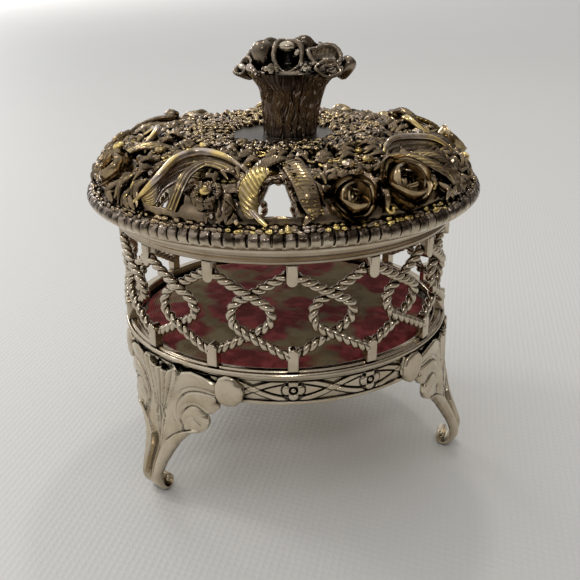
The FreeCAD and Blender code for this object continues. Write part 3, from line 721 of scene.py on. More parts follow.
def make_buds():
    """Low scalloped flowers with a smooth round boss in the middle."""
    reach, rise = columns([(1.05, -0.3), (1.04, 0.08), (0.96, 0.26), (0.82, 0.36), (0.66, 0.34),
                           (0.54, 0.26), (0.46, 0.20)])
    turn = even_turns(84)
    shape = Shape()
    for index, (centre, half) in enumerate(islands("lid_buds")):
        angle, radius = polar(centre)
        size = max(half[:2]) * 1.1
        axis = lid_normal(angle, radius)
        foot = on_lid(angle, radius, 0.1)
        petals = 7 + index % 3
        lobes = np.abs(np.cos(petals * turn / 2)) ** 0.6
        wave = 1 - 0.16 * (1 - lobes) * smooth_step(0.5, 0.9, reach)
        lift = rise * (0.72 + 0.28 * lobes) + 0.05 * np.cos(petals * 3 * turn)
        rings = stacked(reach * wave * np.cos(turn), reach * wave * np.sin(turn), lift) * size
        shape.tube(rings @ basis(axis).T + foot)
        ball(shape, foot + axis * 0.36 * size, 0.42 * size, 16, 0.85, axis)
        for bead in even_turns(petals):
            place = np.array([0.52 * math.cos(bead), 0.52 * math.sin(bead), 0.30]) * size
            ball(shape, foot + place @ basis(axis).T, 0.12 * size, 6)
    lid_piece("lid_small_flowers", shape, BRASS, "lid_buds")


def make_crossed_leaves():
    """Broad ribbed leaves that lean together over each keyhole opening, under a cap leaf."""
    gold, grained = Shape(), Shape()
    for turn in KEYHOLES:
        path, outward = lid_path([(0.2, 36.6, 1.6), (-3.6, 38.6, 2.8), (-6.2, 41.6, 2.6), (-7.0, 44.4, 2.0),
                                  (-5.9, 46.9, 0.8)], 0.2, turn)
        leaf(gold, path, unit(outward + around(turn, 0.35, 0.0)), 4.0, rib=0.0, fold=0.07, veins=13,
             vein_depth=0.11, thick=1.2, slant=0.13, tips=(0.25, 1.2))
        twig, outward = lid_path([(-6.2, 45.8, 1.2), (-4.2, 46.9, 0.9), (-2.2, 48.0, 0.6)], 0.35, turn)
        gold.tube(swept(twig, outward, circle_sections(np.linspace(0.9, 0.5, len(twig)), 8)))
        path, outward = lid_path([(1.2, 34.0, 2.6), (4.8, 38.0, 3.2), (7.2, 42.0, 2.8), (8.4, 44.8, 2.0),
                                  (10.2, 46.6, 0.8)], 0.2, turn)
        leaf(grained, path, unit(outward + around(turn, 0.4, 0.05)), 4.6, rib=0.0, fold=0.12, veins=19,
             vein_depth=0.03, thick=1.3, slant=0.03, tips=(0.22, 1.1))
        draw = random.Random(int(turn) + 60)
        across = unit(np.cross(outward, np.gradient(path, axis=0)))
        for _ in range(110):
            step = draw.randrange(len(path))
            place = path[step] + across[step] * draw.uniform(-1.6, 1.6) + outward[step] * 0.35
            ball(grained, place, draw.uniform(0.28, 0.5), 7)
        path, outward = lid_path([(-7.0, 40.0, 1.8), (-4.2, 37.4, 3.6), (-0.5, 36.2, 4.2), (3.0, 34.4, 3.0)],
                                 0.2, turn)
        leaf(grained, path, outward, 3.8, rib=0.15, fold=0.22, veins=12, vein_depth=0.12, thick=1.2)
    lid_piece("lid_ribbed_leaves", gold, LEAF_GOLD, "lid_crossed_leaves")
    lid_piece("lid_grained_leaves", grained, BRASS)


# Arched leaves: places along the rolled ridge (angle, distance from the axis, lift off the lid),
# how far outward the hollow blade below the ridge reaches, and the ridge's width.
ARCHES = [
    ([(-26.0, 37.4, 0.8), (-35.0, 34.4, 3.0), (-46.0, 33.8, 3.6), (-51.5, 38.2, 3.6), (-53.0, 43.6, 2.4),
      (-59.0, 46.6, 0.8)], 5.0, 2.0),
    ([(27.0, 33.6, 0.6), (35.0, 31.8, 3.0), (46.0, 34.0, 3.6), (54.0, 39.0, 3.0), (59.5, 45.2, 0.8)],
     4.4, 1.6),
    ([(-108.0, 37.0, 0.6), (-100.0, 31.6, 3.2), (-91.0, 31.8, 3.2), (-84.0, 36.6, 0.8)], 4.0, 1.6),
    ([(94.0, 38.0, 0.6), (87.0, 32.4, 3.2), (79.0, 32.6, 3.2), (73.0, 37.4, 0.8)], 4.0, 1.6),
    ([(158.0, 38.0, 0.6), (166.0, 33.6, 3.0), (174.0, 36.0, 3.2), (179.0, 43.0, 0.8)], 4.2, 1.6)]
# Ribbed straps and long leaves: places along the middle, in the same way, and the width.
STRAPS = [
    ([(-26.5, 38.2, 0.4), (-36.0, 36.2, 2.0), (-42.5, 36.4, 2.4), (-44.6, 40.6, 2.2), (-45.0, 43.6, 1.4),
      (-46.0, 46.6, 0.6)], 2.8),
    ([(-154.0, 32.6, 0.4), (-151.5, 39.5, 2.4), (-149.0, 46.4, 0.4)], 2.8),
    ([(150.0, 30.6, 0.4), (155.5, 37.0, 2.4), (160.0, 45.4, 0.4)], 2.8)]
LONG_LEAVES = [
    ([(24.0, 34.6, 1.2), (30.0, 40.0, 3.0), (36.0, 44.4, 2.6), (41.0, 47.0, 0.8)], 3.8),
    ([(33.0, 36.0, 1.2), (41.0, 41.0, 2.6), (48.0, 46.6, 0.8)], 3.2),
    ([(-70.0, 30.0, 0.8), (-84.0, 36.0, 2.0), (-92.0, 45.5, 0.6)], 4.2),
    ([(60.0, 31.0, 0.8), (67.0, 39.0, 2.0), (72.0, 46.0, 0.6)], 4.0),
    ([(146.0, 44.0, 0.8), (138.0, 36.0, 2.0), (126.0, 31.0, 0.6)], 4.0),
    ([(-128.0, 31.0, 0.8), (-124.0, 39.0, 2.0), (-120.0, 46.0, 0.6)], 4.0)]


def make_arches():
    """Arched leaves with a rolled ridge over a hollow blade, ribbed straps and long leaves."""
    shape = Shape()
    for places, reach, width in ARCHES:
        path, outward = lid_path(places)
        swell = np.sin(math.pi * np.clip(np.linspace(0, 1, len(path)), 0.03, 0.97))[:, None] ** 0.6
        turn = even_turns(18)
        flat = 1 + 0.12 * np.cos(3 * turn + 0.6)
        wide = (0.3 + 0.7 * swell) * width / 2 * 1.15 * (np.cos(turn) * flat)
        high = (0.35 + 0.65 * swell) * width / 2 * 0.9 * (np.sin(turn) * flat)
        shape.tube(swept(path, outward, stacked(wide, high)))
        foot = [(angle, min(radius + reach * min(1.0, lift / 3.0), SHELL_R - 0.2), -0.3)
                for angle, radius, lift in places]
        base = lid_path(foot)[0]
        base = base[np.linspace(0, len(base) - 1, len(path)).astype(int)][:, None]
        step = np.linspace(0, 1, 49)
        hollow = ((1.3 * np.sin(math.pi * step) - 0.16 * np.cos(step * 44)) * swell)[..., None]
        step = step[:, None]
        face = path[:, None] * (1 - step) + base * step - outward[:, None] * hollow
        under = face[:, ::-1] - 0.4 * outward[:, None]
        shape.tube(np.concatenate([face + 0.3 * outward[:, None], under], 1))
    side = np.linspace(-1, 1, 17)
    ribs = 0.22 * np.cos(side * math.pi * 3.5)
    for places, width in STRAPS:
        path, outward = lid_path(places)
        top = stacked(side * width / 2, 0.45 * (1 - side ** 2) + ribs)
        section = np.concatenate([top, stacked(side[::-1] * width / 2 * 0.95, -0.5)])
        shape.tube(swept(path, outward, np.broadcast_to(section, (len(path),) + section.shape)))
    for places, width in LONG_LEAVES:
        path, outward = lid_path(places)
        leaf(shape, path, outward, width, rib=0.5, fold=0.16, veins=11, vein_depth=0.15, thick=0.8,
             slant=0.2, tips=(0.7, 0.9))
    lid_piece("lid_arched_straps", shape, BRASS, "lid_arched_leaves")


def near_opening(angle, radius, margin):
    """Whether a place on the lid is by an opening, or under one of the larger flowers."""
    away = np.abs((angle - np.array(KEYHOLES + WINDOWS) + 180) % 360 - 180)
    if radius > 33.0 and math.radians(away.min()) * radius < margin:
        return True
    place = around(angle, radius, 0.0)[:2]
    return any(np.hypot(*(place - centre)) < 0.9 * size for centre, size in FLOWERS)


def curl(shape, angle, radius, size, turns, spin):
    """A small tendril that coils up on the lid's surface."""
    thick = 0.46
    along = np.linspace(0, 1, 26)
    swing = spin + TAU * turns * along
    reach = size * (1 - 0.75 * along)
    axes = basis(lid_normal(angle, radius))
    flat = stacked(reach * np.cos(swing), reach * np.sin(swing), 0.35 + 0.5 * along)
    path = on_lid(angle, radius, 0.2) + flat @ axes.T
    shape.tube(swept(path, axes[:, 2] + 0 * path, circle_sections(thick * (1 - 0.35 * along), 8)))
    ball(shape, path[-1], thick * 1.1)


def make_foliage():
    """Long ridged leaflets, tendrils and berries that fill the ground between the flowers."""
    leaf_room, curl_room, berry_room = 5.4, 5.6, 5.2  # kept clear of the middle of an opening
    draw = random.Random(404)
    shape = Shape()
    rows = [(25.0, 24), (28.0, 30), (31.0, 34), (34.0, 38), (37.0, 42), (40.0, 46), (43.0, 50),
            (45.6, 56)]
    for row, (radius, count) in enumerate(rows):
        for index in range(count):
            angle = 360.0 * (index + draw.uniform(-0.4, 0.4)) / count
            swirl = 70 * math.sin(math.radians(angle * 5 + 50 * row))
            flow = math.radians(swirl + draw.uniform(-25, 25))
            for side in (-1, 0, 1):
                heading = flow + side * math.radians(34)
                length = draw.uniform(3.2, 5.2)
                place = radius + draw.uniform(-0.8, 0.8)
                tip = min(place + length * math.cos(heading), SHELL_R + 1.2)
                tip = max(tip, DISC_R + 9.0)
                aside = math.degrees(length * math.sin(heading) / radius)
                middle = (angle + aside * 0.5 + draw.uniform(-1.4, 1.4), (place + tip) / 2)
                spots = [(angle, place), middle, (angle + aside, tip)]
                if any(near_opening(*spot, leaf_room) for spot in spots):
                    continue
                lift = draw.uniform(0.5, 1.3)
                lifts = (lift * 0.4, lift + 0.8, lift * 0.5)
                path, outward = lid_path([(*spot, high) for spot, high in zip(spots, lifts)], 0.45)
                leaf(shape, path, outward, draw.uniform(1.5, 2.1), rib=0.16, fold=0.30, veins=3,
                     vein_depth=0.0, thick=0.8, tips=(0.5, 0.85))
    for _ in range(170):
        angle, place = draw.uniform(0, 360), draw.uniform(24.5, 47.5)
        size = draw.uniform(0.9, 1.7)
        if not near_opening(angle, place, curl_room):
            curl(shape, angle, place, size, draw.uniform(0.8, 1.3), draw.uniform(0, TAU))
    for _ in range(60):
        angle, place = draw.uniform(0, 360), draw.uniform(24.5, 47.8)
        if not near_opening(angle, place, berry_room):
            ball(shape, on_lid(angle, place, draw.uniform(0.7, 1.5)), draw.uniform(0.6, 1.1), 12)
    lid_piece("lid_small_foliage", shape, BRASS)


def make_grains():
    """Fine grains and commas, like stamens, in a ring round the smooth disc."""
    draw = random.Random(77)
    shape = Shape()
    for row, radius in enumerate(np.arange(DISC_R - 0.9, 24.6, 1.0)):
        count = int(TAU * radius / 1.9)
        for index in range(count):
            angle = 360.0 * (index + 0.5 * (row % 2) + draw.uniform(-0.35, 0.35)) / count
            place = radius + draw.uniform(-0.4, 0.4)
            facing = angle + draw.uniform(-80, 80)
            sway = around(facing, draw.uniform(1.2, 2.3), 0)
            tall = draw.uniform(0.5, 1.4) + 0.09 * row
            foot = on_lid(angle, place, -0.1)
            head = foot + np.array([0, 0, tall * 0.6]) + sway
            bow = around(facing + 90, draw.uniform(-0.6, 0.6), 0)
            path = spline([foot, (foot + head) / 2 + bow + np.array([0, 0, 0.5 * tall]), head], 0.4)
            thick = draw.uniform(0.36, 0.6)
            sections = circle_sections(np.linspace(0.7, 1.1, len(path)) * thick, 8)
            shape.tube(swept(path, outward_of(around(angle + 90, 1, 0), path), sections))
            ball(shape, head, thick * draw.uniform(1.0, 1.3))
    lid_piece("lid_stamen_grains", shape, FINE_BRASS)


# ---------------------------------------------------------------- knob
KNOB_SHIFT = around(75.0, 1.9, 0.0)  # the knob stands a little to one side of the axis
KNOB_LEAN = around(75.0, 0.7, 0.0)  # and its head leans out farther the same way


def make_stem():
    """Bark-like stem that flares into the flower head."""
    heights = [STEM_LOW, 87.0, 90.4, 93.0, 95.9, 97.5, 99.0, STEM_TOP + 2.2]
    rows = np.linspace(STEM_LOW + 0.02, STEM_TOP + 2.2, 150)
    reach = np.interp(rows, heights, [6.9, 7.1, 7.4, 7.8, 8.6, 9.8, 11.4, 13.0])
    for _ in range(12):
        reach[1:-1] = (reach[:-2] + 2 * reach[1:-1] + reach[2:]) / 4
    angles = even_turns(480, 360)[:, None]
    mean_reach, sway = 7.2, np.array([1.0, -1.0, 0.0])
    smooth = around(angles, mean_reach, rows)
    wavy = smooth + 0.22 * np.sin(smooth[..., 2:] * 0.9 + smooth[..., :1]) * sway
    bark = np.abs(fbm(wavy * np.array([1.0, 1.0, 0.06]), 0.55, 1))
    fine = np.abs(fbm(wavy * np.array([1.0, 1.0, 0.05]) + 40, 1.3, 1))
    depth = 0.42 * np.exp(-(bark / 0.09) ** 2) + 0.36 * np.exp(-(fine / 0.11) ** 2)
    carved = around(angles, reach - depth - 0.35 * np.minimum(fine, 0.4), rows)
    lean = smooth_step(STEM_LOW, STEM_TOP, rows)[:, None] * KNOB_LEAN
    shape = Shape()
    shape.tube((carved + KNOB_SHIFT + lean).transpose(1, 0, 2))
    lid_piece("knob_bark_stem", shape, BARK, "knob_stem")


def blossom(shape, rim_centre, axis, wide, tall, depth, seed, wall, fill):
    """A thick-walled cup: an oval rounded lip round a hollow, narrowing to its foot."""
    phase = random.Random(seed).uniform(0, TAU)
    turn = even_turns(72)
    wave = 0.06 * np.cos(3 * turn + phase) + 0.03 * np.cos(5 * turn + phase * 3)
    rings = [(wide * reach, tall * reach, depth * rise, 1 + rise)
             for reach, rise in ((0.45, -1.0), (0.62, -0.8), (0.80, -0.5), (0.93, -0.22), (1.0, -0.05))]
    for step in range(6):
        bend = math.pi * (step + 0.5) / 6
        inset = wall / 2 * (1 - math.cos(bend))
        rings.append((wide - inset, tall - inset, wall / 2 * math.sin(bend), 1.0))
    for reach, rise in ((0.97, -0.25), (0.82, -0.55), (0.60, -0.82), (0.35, -0.95), (0.08, -1.0)):
        rings.append(((wide - wall) * reach, (tall - wall) * reach, fill * depth * rise, 1 + rise))
    across, ahead, rise, sway = columns(rings)
    ridges = (1 + wave * sway) * (1 + 0.015 * np.cos(19 * turn + phase))
    lift = rise + 0.09 * wide * np.sin(3 * turn + phase + 1) * sway
    axes = basis(axis)
    points = stacked(across * ridges * np.cos(turn), ahead * ridges * np.sin(turn), lift)
    shape.tube(points @ axes.T + rim_centre)
    if fill < 0.7:
        heart = rim_centre - axes[:, 2] * fill * depth * 0.9
        for aside in phase + even_turns(3):
            dot = axes[:, 0] * 0.22 * wide * math.cos(aside) + axes[:, 1] * 0.22 * tall * math.sin(aside)
            ball(shape, heart + dot, 0.2 * min(wide, tall))


# Knob head, seen from its front: how far to the right and to the front of the stem's middle the
# middle of each cup's rim is, its height, the way it faces (degrees round from the front, degrees
# down from upright), half width, half height and depth.
KNOB_FRONT = -15.0
BLOSSOMS = [
    (-1.1, 6.4, 103.2, 0.0, 50.0, 4.0, 5.3, 5.6), (7.9, 4.8, 103.0, 15.0, 34.0, 4.7, 4.2, 5.0),
    (8.4, 9.6, 100.6, 22.0, 48.0, 3.5, 2.6, 2.6), (-12.0, 3.0, 100.6, -62.0, 46.0, 3.2, 2.8, 3.6),
    (-6.6, -6.6, 104.2, -135.0, 30.0, 3.9, 3.7, 5.2), (2.6, -6.8, 104.6, 170.0, 28.0, 4.2, 3.8, 5.2),
    (9.6, -4.6, 103.0, 120.0, 40.0, 3.8, 3.5, 4.8), (-11.2, -3.6, 101.4, -105.0, 55.0, 3.0, 2.8, 4.0),
    (-1.8, -10.8, 100.8, -170.0, 62.0, 3.2, 2.8, 3.6), (6.6, -9.8, 100.6, 150.0, 60.0, 3.0, 2.7, 3.6),
    (1.0, -0.6, 105.4, 160.0, 12.0, 2.8, 2.6, 4.0)]


def make_head():
    """Crowded cups, two plump buds and small lumps on a low crown."""
    shape = Shape()
    offset = KNOB_SHIFT + KNOB_LEAN

    def at(aside, ahead, height):
        return around(KNOB_FRONT + 90, aside, 0.6) + around(KNOB_FRONT, ahead, height) + offset

    def leaning(facing, lean):
        return around(KNOB_FRONT + facing, math.sin(math.radians(lean)), math.cos(math.radians(lean)))

    for index, (aside, ahead, height, facing, lean, wide, tall, depth) in enumerate(BLOSSOMS):
        blossom(shape, at(aside, ahead, height), leaning(facing, lean), wide, tall, depth, 500 + index,
                wall=1.25 if tall > 3 else 0.8, fill=0.8 if index == 0 else 0.55)
    across = around(KNOB_FRONT + 90, 1.0, 0.0)
    ball(shape, at(-1.3, 3.9, 105.1), 1.4, 24, 1.8, across)  # petals folded into the front cup
    ball(shape, at(1.3, 4.9, 103.7), 0.9, 20, 1.5, across + np.array([0.0, 0.0, 0.9]))
    reach, rise = columns([(0.5, -1.6), (0.86, -1.2), (1.0, -0.4), (1.02, 0.4), (0.9, 0.9), (0.62, 1.2),
                           (0.2, 1.32)])
    turn = even_turns(30)
    folds = reach * (1 + 0.05 * np.cos(4 * turn) * (1 - reach * 0.3))
    plump = stacked(folds * np.cos(turn), folds * np.sin(turn), rise)
    for aside, ahead, height, size, lean in (
            (-7.0, 3.4, 103.4, 2.5, -12.0), (13.3, 0.8, 99.9, 2.0, 35.0)):
        shape.tube(plump * size @ basis(leaning(90, lean)).T + at(aside, ahead, height))
    draw = random.Random(31)
    for _ in range(70):
        aside, front = draw.uniform(-10.0, 10.0), draw.uniform(-10.0, 6.0)
        away = math.hypot(aside, front)
        if away < 10.0 and (front < -3.0 or aside < -5.5):
            height = 103.0 - 0.02 * away ** 2 + draw.uniform(-0.5, 0.5)
            ball(shape, at(aside, front, height), draw.uniform(0.7, 1.3), 10)
    for _ in range(64):
        facing = draw.uniform(-180, 180)
        if -28 < facing < 50:
            continue
        edge = around(KNOB_FRONT + facing, 11.6 + draw.uniform(-0.9, 0.7), draw.uniform(99.9, 101.3))
        sweep = around(KNOB_FRONT + facing + draw.uniform(-60, 60), 1.0, draw.uniform(0.2, 1.0))
        ball(shape, edge + offset, draw.uniform(0.8, 1.3), 12, draw.uniform(1.2, 1.9), sweep)
    for count, aside, front, height, size, sides in (
            (22, (2.0, 5.0), (9.2, 11.0), (100.2, 102.0), (0.4, 0.75), 8),
            (9, (-5.6, -3.6), (9.6, 11.0), (100.2, 101.6), (0.6, 0.95), 10)):
        for _ in range(count):
            centre = at(draw.uniform(*aside), draw.uniform(*front), draw.uniform(*height))
            ball(shape, centre, draw.uniform(*size), sides)
    turn = even_turns(72, 360)
    radius, height = columns([(11.4, 1.6), (11.8, 2.2), (10.2, 2.7), (7.0, 3.6), (2.0, 4.2)])
    crown = around(turn, radius + 0.4 * np.cos(np.radians(turn) * 7), STEM_TOP + height)
    shape.tube(crown + offset)
    lid_piece("knob_blossom_head", shape, HEAD_BRONZE, "knob_blossoms")


# ---------------------------------------------------------------- basket
def ring_piece(name, profile, stands_for, material):
    shape = Shape()
    shape.grid(revolved(profile, even_turns(360, 360)), True, True)
    basket_piece(name, shape, material, stands_for)


def make_rings():
    inner = RING_R - 3.4
    ring_piece("top_ring_plate", rounded_profile([
        (inner, RING_LOW + 0.2), (RING_R - 1.2, RING_LOW), (RING_R - 0.35, RING_LOW + 0.1),
        (RING_R - 0.05, RING_LOW + 0.9), (RING_R - 0.75, RING_LOW + 1.7),
        (RING_R - 0.8, RING_TOP), (inner, RING_TOP)]), "top_ring", SHADED_RING_PLATE)
    inner = RAIL_R - 3.2
    ring_piece("rail_moulding", rounded_profile([
        (inner, RAIL_LOW), (inner, RAIL_TOP - 0.25), (inner + 0.3, RAIL_TOP), (RAIL_R - 1.5, RAIL_TOP),
        (RAIL_R - 1.2, RAIL_TOP - 0.45), (RAIL_R - 0.9, RAIL_TOP - 0.45), (RAIL_R - 0.4, RAIL_TOP - 0.35),
        (RAIL_R, RAIL_TOP - 0.9), (RAIL_R - 0.3, RAIL_LOW + 0.35), (RAIL_R - 1.0, RAIL_LOW + 0.1),
        (RAIL_R - 1.2, RAIL_LOW)], step=0.15, passes=1), "rail_ring", SILVER)


def make_posts():
    """Round-ended tabs between the bays, with softened edges."""
    half, depth, chamfer = 1.3, 2.5, 0.42
    for name, node, flat, tip, reach in (
            ("upper_post_tabs", "upper_posts", POST_TOP, POST_TIP, POST_R),
            ("lower_post_tabs", "lower_posts", LOW_POST_FOOT, LOW_POST_TIP, LOW_POST_R)):
        sign = 1 if tip > flat else -1
        outline = [(half * math.cos(t), tip - sign * half + sign * half * math.sin(t))
                   for t in np.linspace(0, math.pi, 13)]
        outline = [(half, flat)] + outline + [(-half, flat)]
        work = bmesh.new()
        front = [work.verts.new((x, -reach + 0.2, z)) for x, z in outline]
        back = [work.verts.new((x, -reach + depth, z)) for x, z in outline]
        work.faces.new(front)
        work.faces.new(back[::-1])
        for index in range(len(outline)):
            following = (index + 1) % len(outline)
            work.faces.new((front[following], front[index], back[index], back[following]))
        bmesh.ops.recalc_face_normals(work, faces=work.faces)
        edges = [edge for edge in work.edges if all(v.co.y < -reach + 0.5 for v in edge.verts)]
        bmesh.ops.bevel(work, geom=edges, offset=chamfer, segments=3, profile=0.6, affect="EDGES")
        work.verts.index_update()
        one = Shape()
        one.points = [np.array([v.co for v in work.verts])]
        one.faces = [[v.index for v in face.verts] for face in work.faces]
        work.free()
        shape = copies(one, (np.arange(BAYS) + 0.5) * BAY_TURN)
        item = basket_piece(name, shape, SILVER, node)
        item.data.set_sharp_from_angle(angle=math.radians(40))


def rope_path(side):
    """Centreline of one strand of the first bay, as in the CAD source."""
    ring, turn, centre, weave, slope = 41.6, 3.83, 0.92, 0.6, math.radians(30.7)
    start = ring * math.pi / BAYS - 0.9
    shoulder = (centre + turn * math.sin(slope), turn * math.cos(slope))
    line = np.array([(-start, 10.4 - 0.9 * math.tan(slope)), shoulder])
    swing = np.linspace(math.pi / 2 - slope, slope - math.pi / 2, 40)[1:-1]
    bend = stacked(centre + turn * np.cos(swing), turn * np.sin(swing))
    flat = resampled(np.concatenate([line, bend, line[::-1] * np.array([1, -1])]), 0.22)
    lift = weave * side * np.sin(np.clip(flat[:, 1] / 5.0, -1, 1) * math.pi / 2)
    angles = np.degrees(side * flat[:, 0] / ring)
    return around(angles, ring + lift, EYE_Z + flat[:, 1]), around(angles, 1.0, 0.0)


def make_ropes():
    """Two-ply twisted wire; the mirrored strands are laid the other way."""
    wire, offset, pitch = 0.72, 0.52, 4.4
    for name, node, side in (("rope_right_lay", "rope_strands_right", 1),
                             ("rope_left_lay", "rope_strands_left", -1)):
        path, outward = rope_path(side)
        one = Shape()
        for ply in range(2):
            turn = side * TAU * path_lengths(path) / pitch + ply * math.pi
            centre = swept(path, outward, offset * circle(turn)[:, None, :])[:, 0]
            one.tube(swept(centre, outward, circle_sections(np.full(len(centre), wire), 12)))
        shape = copies(one, np.arange(BAYS) * BAY_TURN)
        basket_piece(name, shape, SILVER, node)


def strip(value, centre, half, soft):
    """1 on a band round a value, falling softly to 0."""
    return 1 - smooth_step(half, half + soft, np.abs(value - centre))


def make_band():
    """Chased band: crossing ribbons that make lozenges, a flower in each, border lines."""
    steps, floor = 2520, -0.18
    angle = even_turns(steps, 360)[:, None]
    height = np.linspace(BAND_LOW, BAND_TOP, 76)
    middle = BAND_LOW + 3.75
    swing = np.abs((angle / BAY_TURN - 0.5) % 1.0 - 0.5) * 2  # 1 over a flower, 0 at a crossing
    arc = 2.55 * (1 - (1 - swing) ** 1.7)
    across = np.radians(1.0) * BAND_R * 360 / steps
    relief, grooves = floor, 0.0
    for sign in (-1, 1):
        line = middle + sign * arc
        slope = np.gradient(line, axis=0) / across
        away = np.abs((height - line) / np.sqrt(1 + slope ** 2))
        relief = np.maximum(relief, 0.58 * (1 - smooth_step(0.46, 0.72, away)) + floor)
        grooves = np.maximum(grooves, strip(away, 0.84, 0.04, 0.14))
    inside = smooth_step(0.85, 1.1, arc - np.abs(height - middle))
    relief = np.maximum(relief, 0.40 * inside + floor) - 0.18 * grooves
    x = np.radians(((angle / BAY_TURN) % 1.0 - 0.5) * BAY_TURN) * BAND_R
    y = height - middle
    reach = np.hypot(x, y)
    long, short = np.maximum(np.abs(x), np.abs(y)), np.minimum(np.abs(x), np.abs(y))
    lobe = np.hypot((long - 1.62) / 1.12, short / 1.30)
    petals = 0.62 * np.sqrt(np.clip(1 - lobe ** 2, 0, 1)) ** 0.7
    heart = 0.72 * np.sqrt(np.clip(1 - (reach / 0.72) ** 2, 0, 1))
    ring = strip(reach, 0.92, 0.08, 0.16) * (0.75 + 0.25 * np.cos(16 * np.arctan2(y, x)))
    drill = 1 - smooth_step(0.22, 0.42, np.hypot(long - 1.5, short - 1.5))
    flower = np.maximum(petals * smooth_step(0.8, 1.15, reach), heart) - 0.35 * ring - 0.5 * drill
    flower = flower - 0.28 * strip(reach, 2.78, 0.04, 0.16)
    ground = relief * 0.4
    flower = np.where(flower > 0.02, np.maximum(flower, ground), np.minimum(ground, flower))
    relief = np.where(reach < 2.7, flower, relief) - 0.25 * strip(reach, 2.82, 0.03, 0.14)
    border = 0.0
    for rise, place, half, soft in (
            (0.40, BAND_LOW + 0.45, 0.34, 0.12), (-0.42, BAND_LOW + 1.02, 0.05, 0.14),
            (0.34, BAND_TOP - 0.25, 0.22, 0.12), (-0.30, BAND_TOP - 0.66, 0.03, 0.12)):
        border = border + rise * strip(height, place, half, soft)
    relief = np.where((height < BAND_LOW + 1.2) | (height > BAND_TOP - 0.85), border, relief)
    grain = fbm(around(angle[::4], BAND_R, height[::4]), 0.8)
    relief = relief + 0.03 * grain.repeat(4, axis=0).repeat(4, axis=1)
    front = around(angle, BAND_R - 0.30 + relief, height)
    back = around(angle, BAND_R - 1.4, height[::-1])
    shape = Shape()
    shape.grid(np.concatenate([front, back], axis=1), True, True)
    basket_piece("chased_band", shape, BAND_SILVER, "base_band", "band_rosettes")


# ---------------------------------------------------------------- feet
FOOT_BEND = 44.0  # radius that the leaf is bent to


def foot_side_line():
    """The foot's outer side line: leaf top, S-shaped shank, heel and curled toe."""
    points = np.array([
        (43.5, 36.2), (43.4, 31.0), (43.5, 26.0), (43.9, 20.0), (44.9, 15.4), (46.3, 12.0), (47.8, 8.8),
        (48.8, 6.0), (49.0, 3.9), (48.4, 1.9), (47.2, 0.5), (45.8, 0.05), (44.5, 0.5), (43.7, 1.7),
        (43.7, 3.2), (44.6, 4.3), (45.8, 4.2), (46.4, 3.2), (46.1, 2.2), (45.3, 1.9)])
    for _ in range(3):  # corner cutting keeps the ends and rounds the rest
        first = 0.75 * points[:-1] + 0.25 * points[1:]
        second = 0.25 * points[:-1] + 0.75 * points[1:]
        cut = np.stack([first, second], 1).reshape(-1, 2)
        points = np.concatenate([points[:1], cut, points[-1:]])
    return resampled(points, 0.2)


def foot_half_width(height):
    """Half width of the foot by height: ankle, shank, two scallops and the leaf's shoulder."""
    heights, widths = np.array([
        (0.0, 2.9), (3.0, 2.9), (6.2, 2.75), (9.5, 3.4), (12.5, 4.6), (15.0, 6.0), (17.2, 8.0),
        (18.8, 9.7), (19.3, 11.2), (19.9, 12.9), (21.0, 14.2), (22.6, 14.9), (24.0, 14.6), (24.6, 14.0),
        (25.0, 15.0), (25.8, 16.5), (27.2, 17.7), (28.6, 17.9), (29.3, 17.2), (29.8, 17.0), (31.0, 17.2),
        (34.0, 17.4), (36.2, 17.2)]).T
    return np.interp(height, heights, widths)


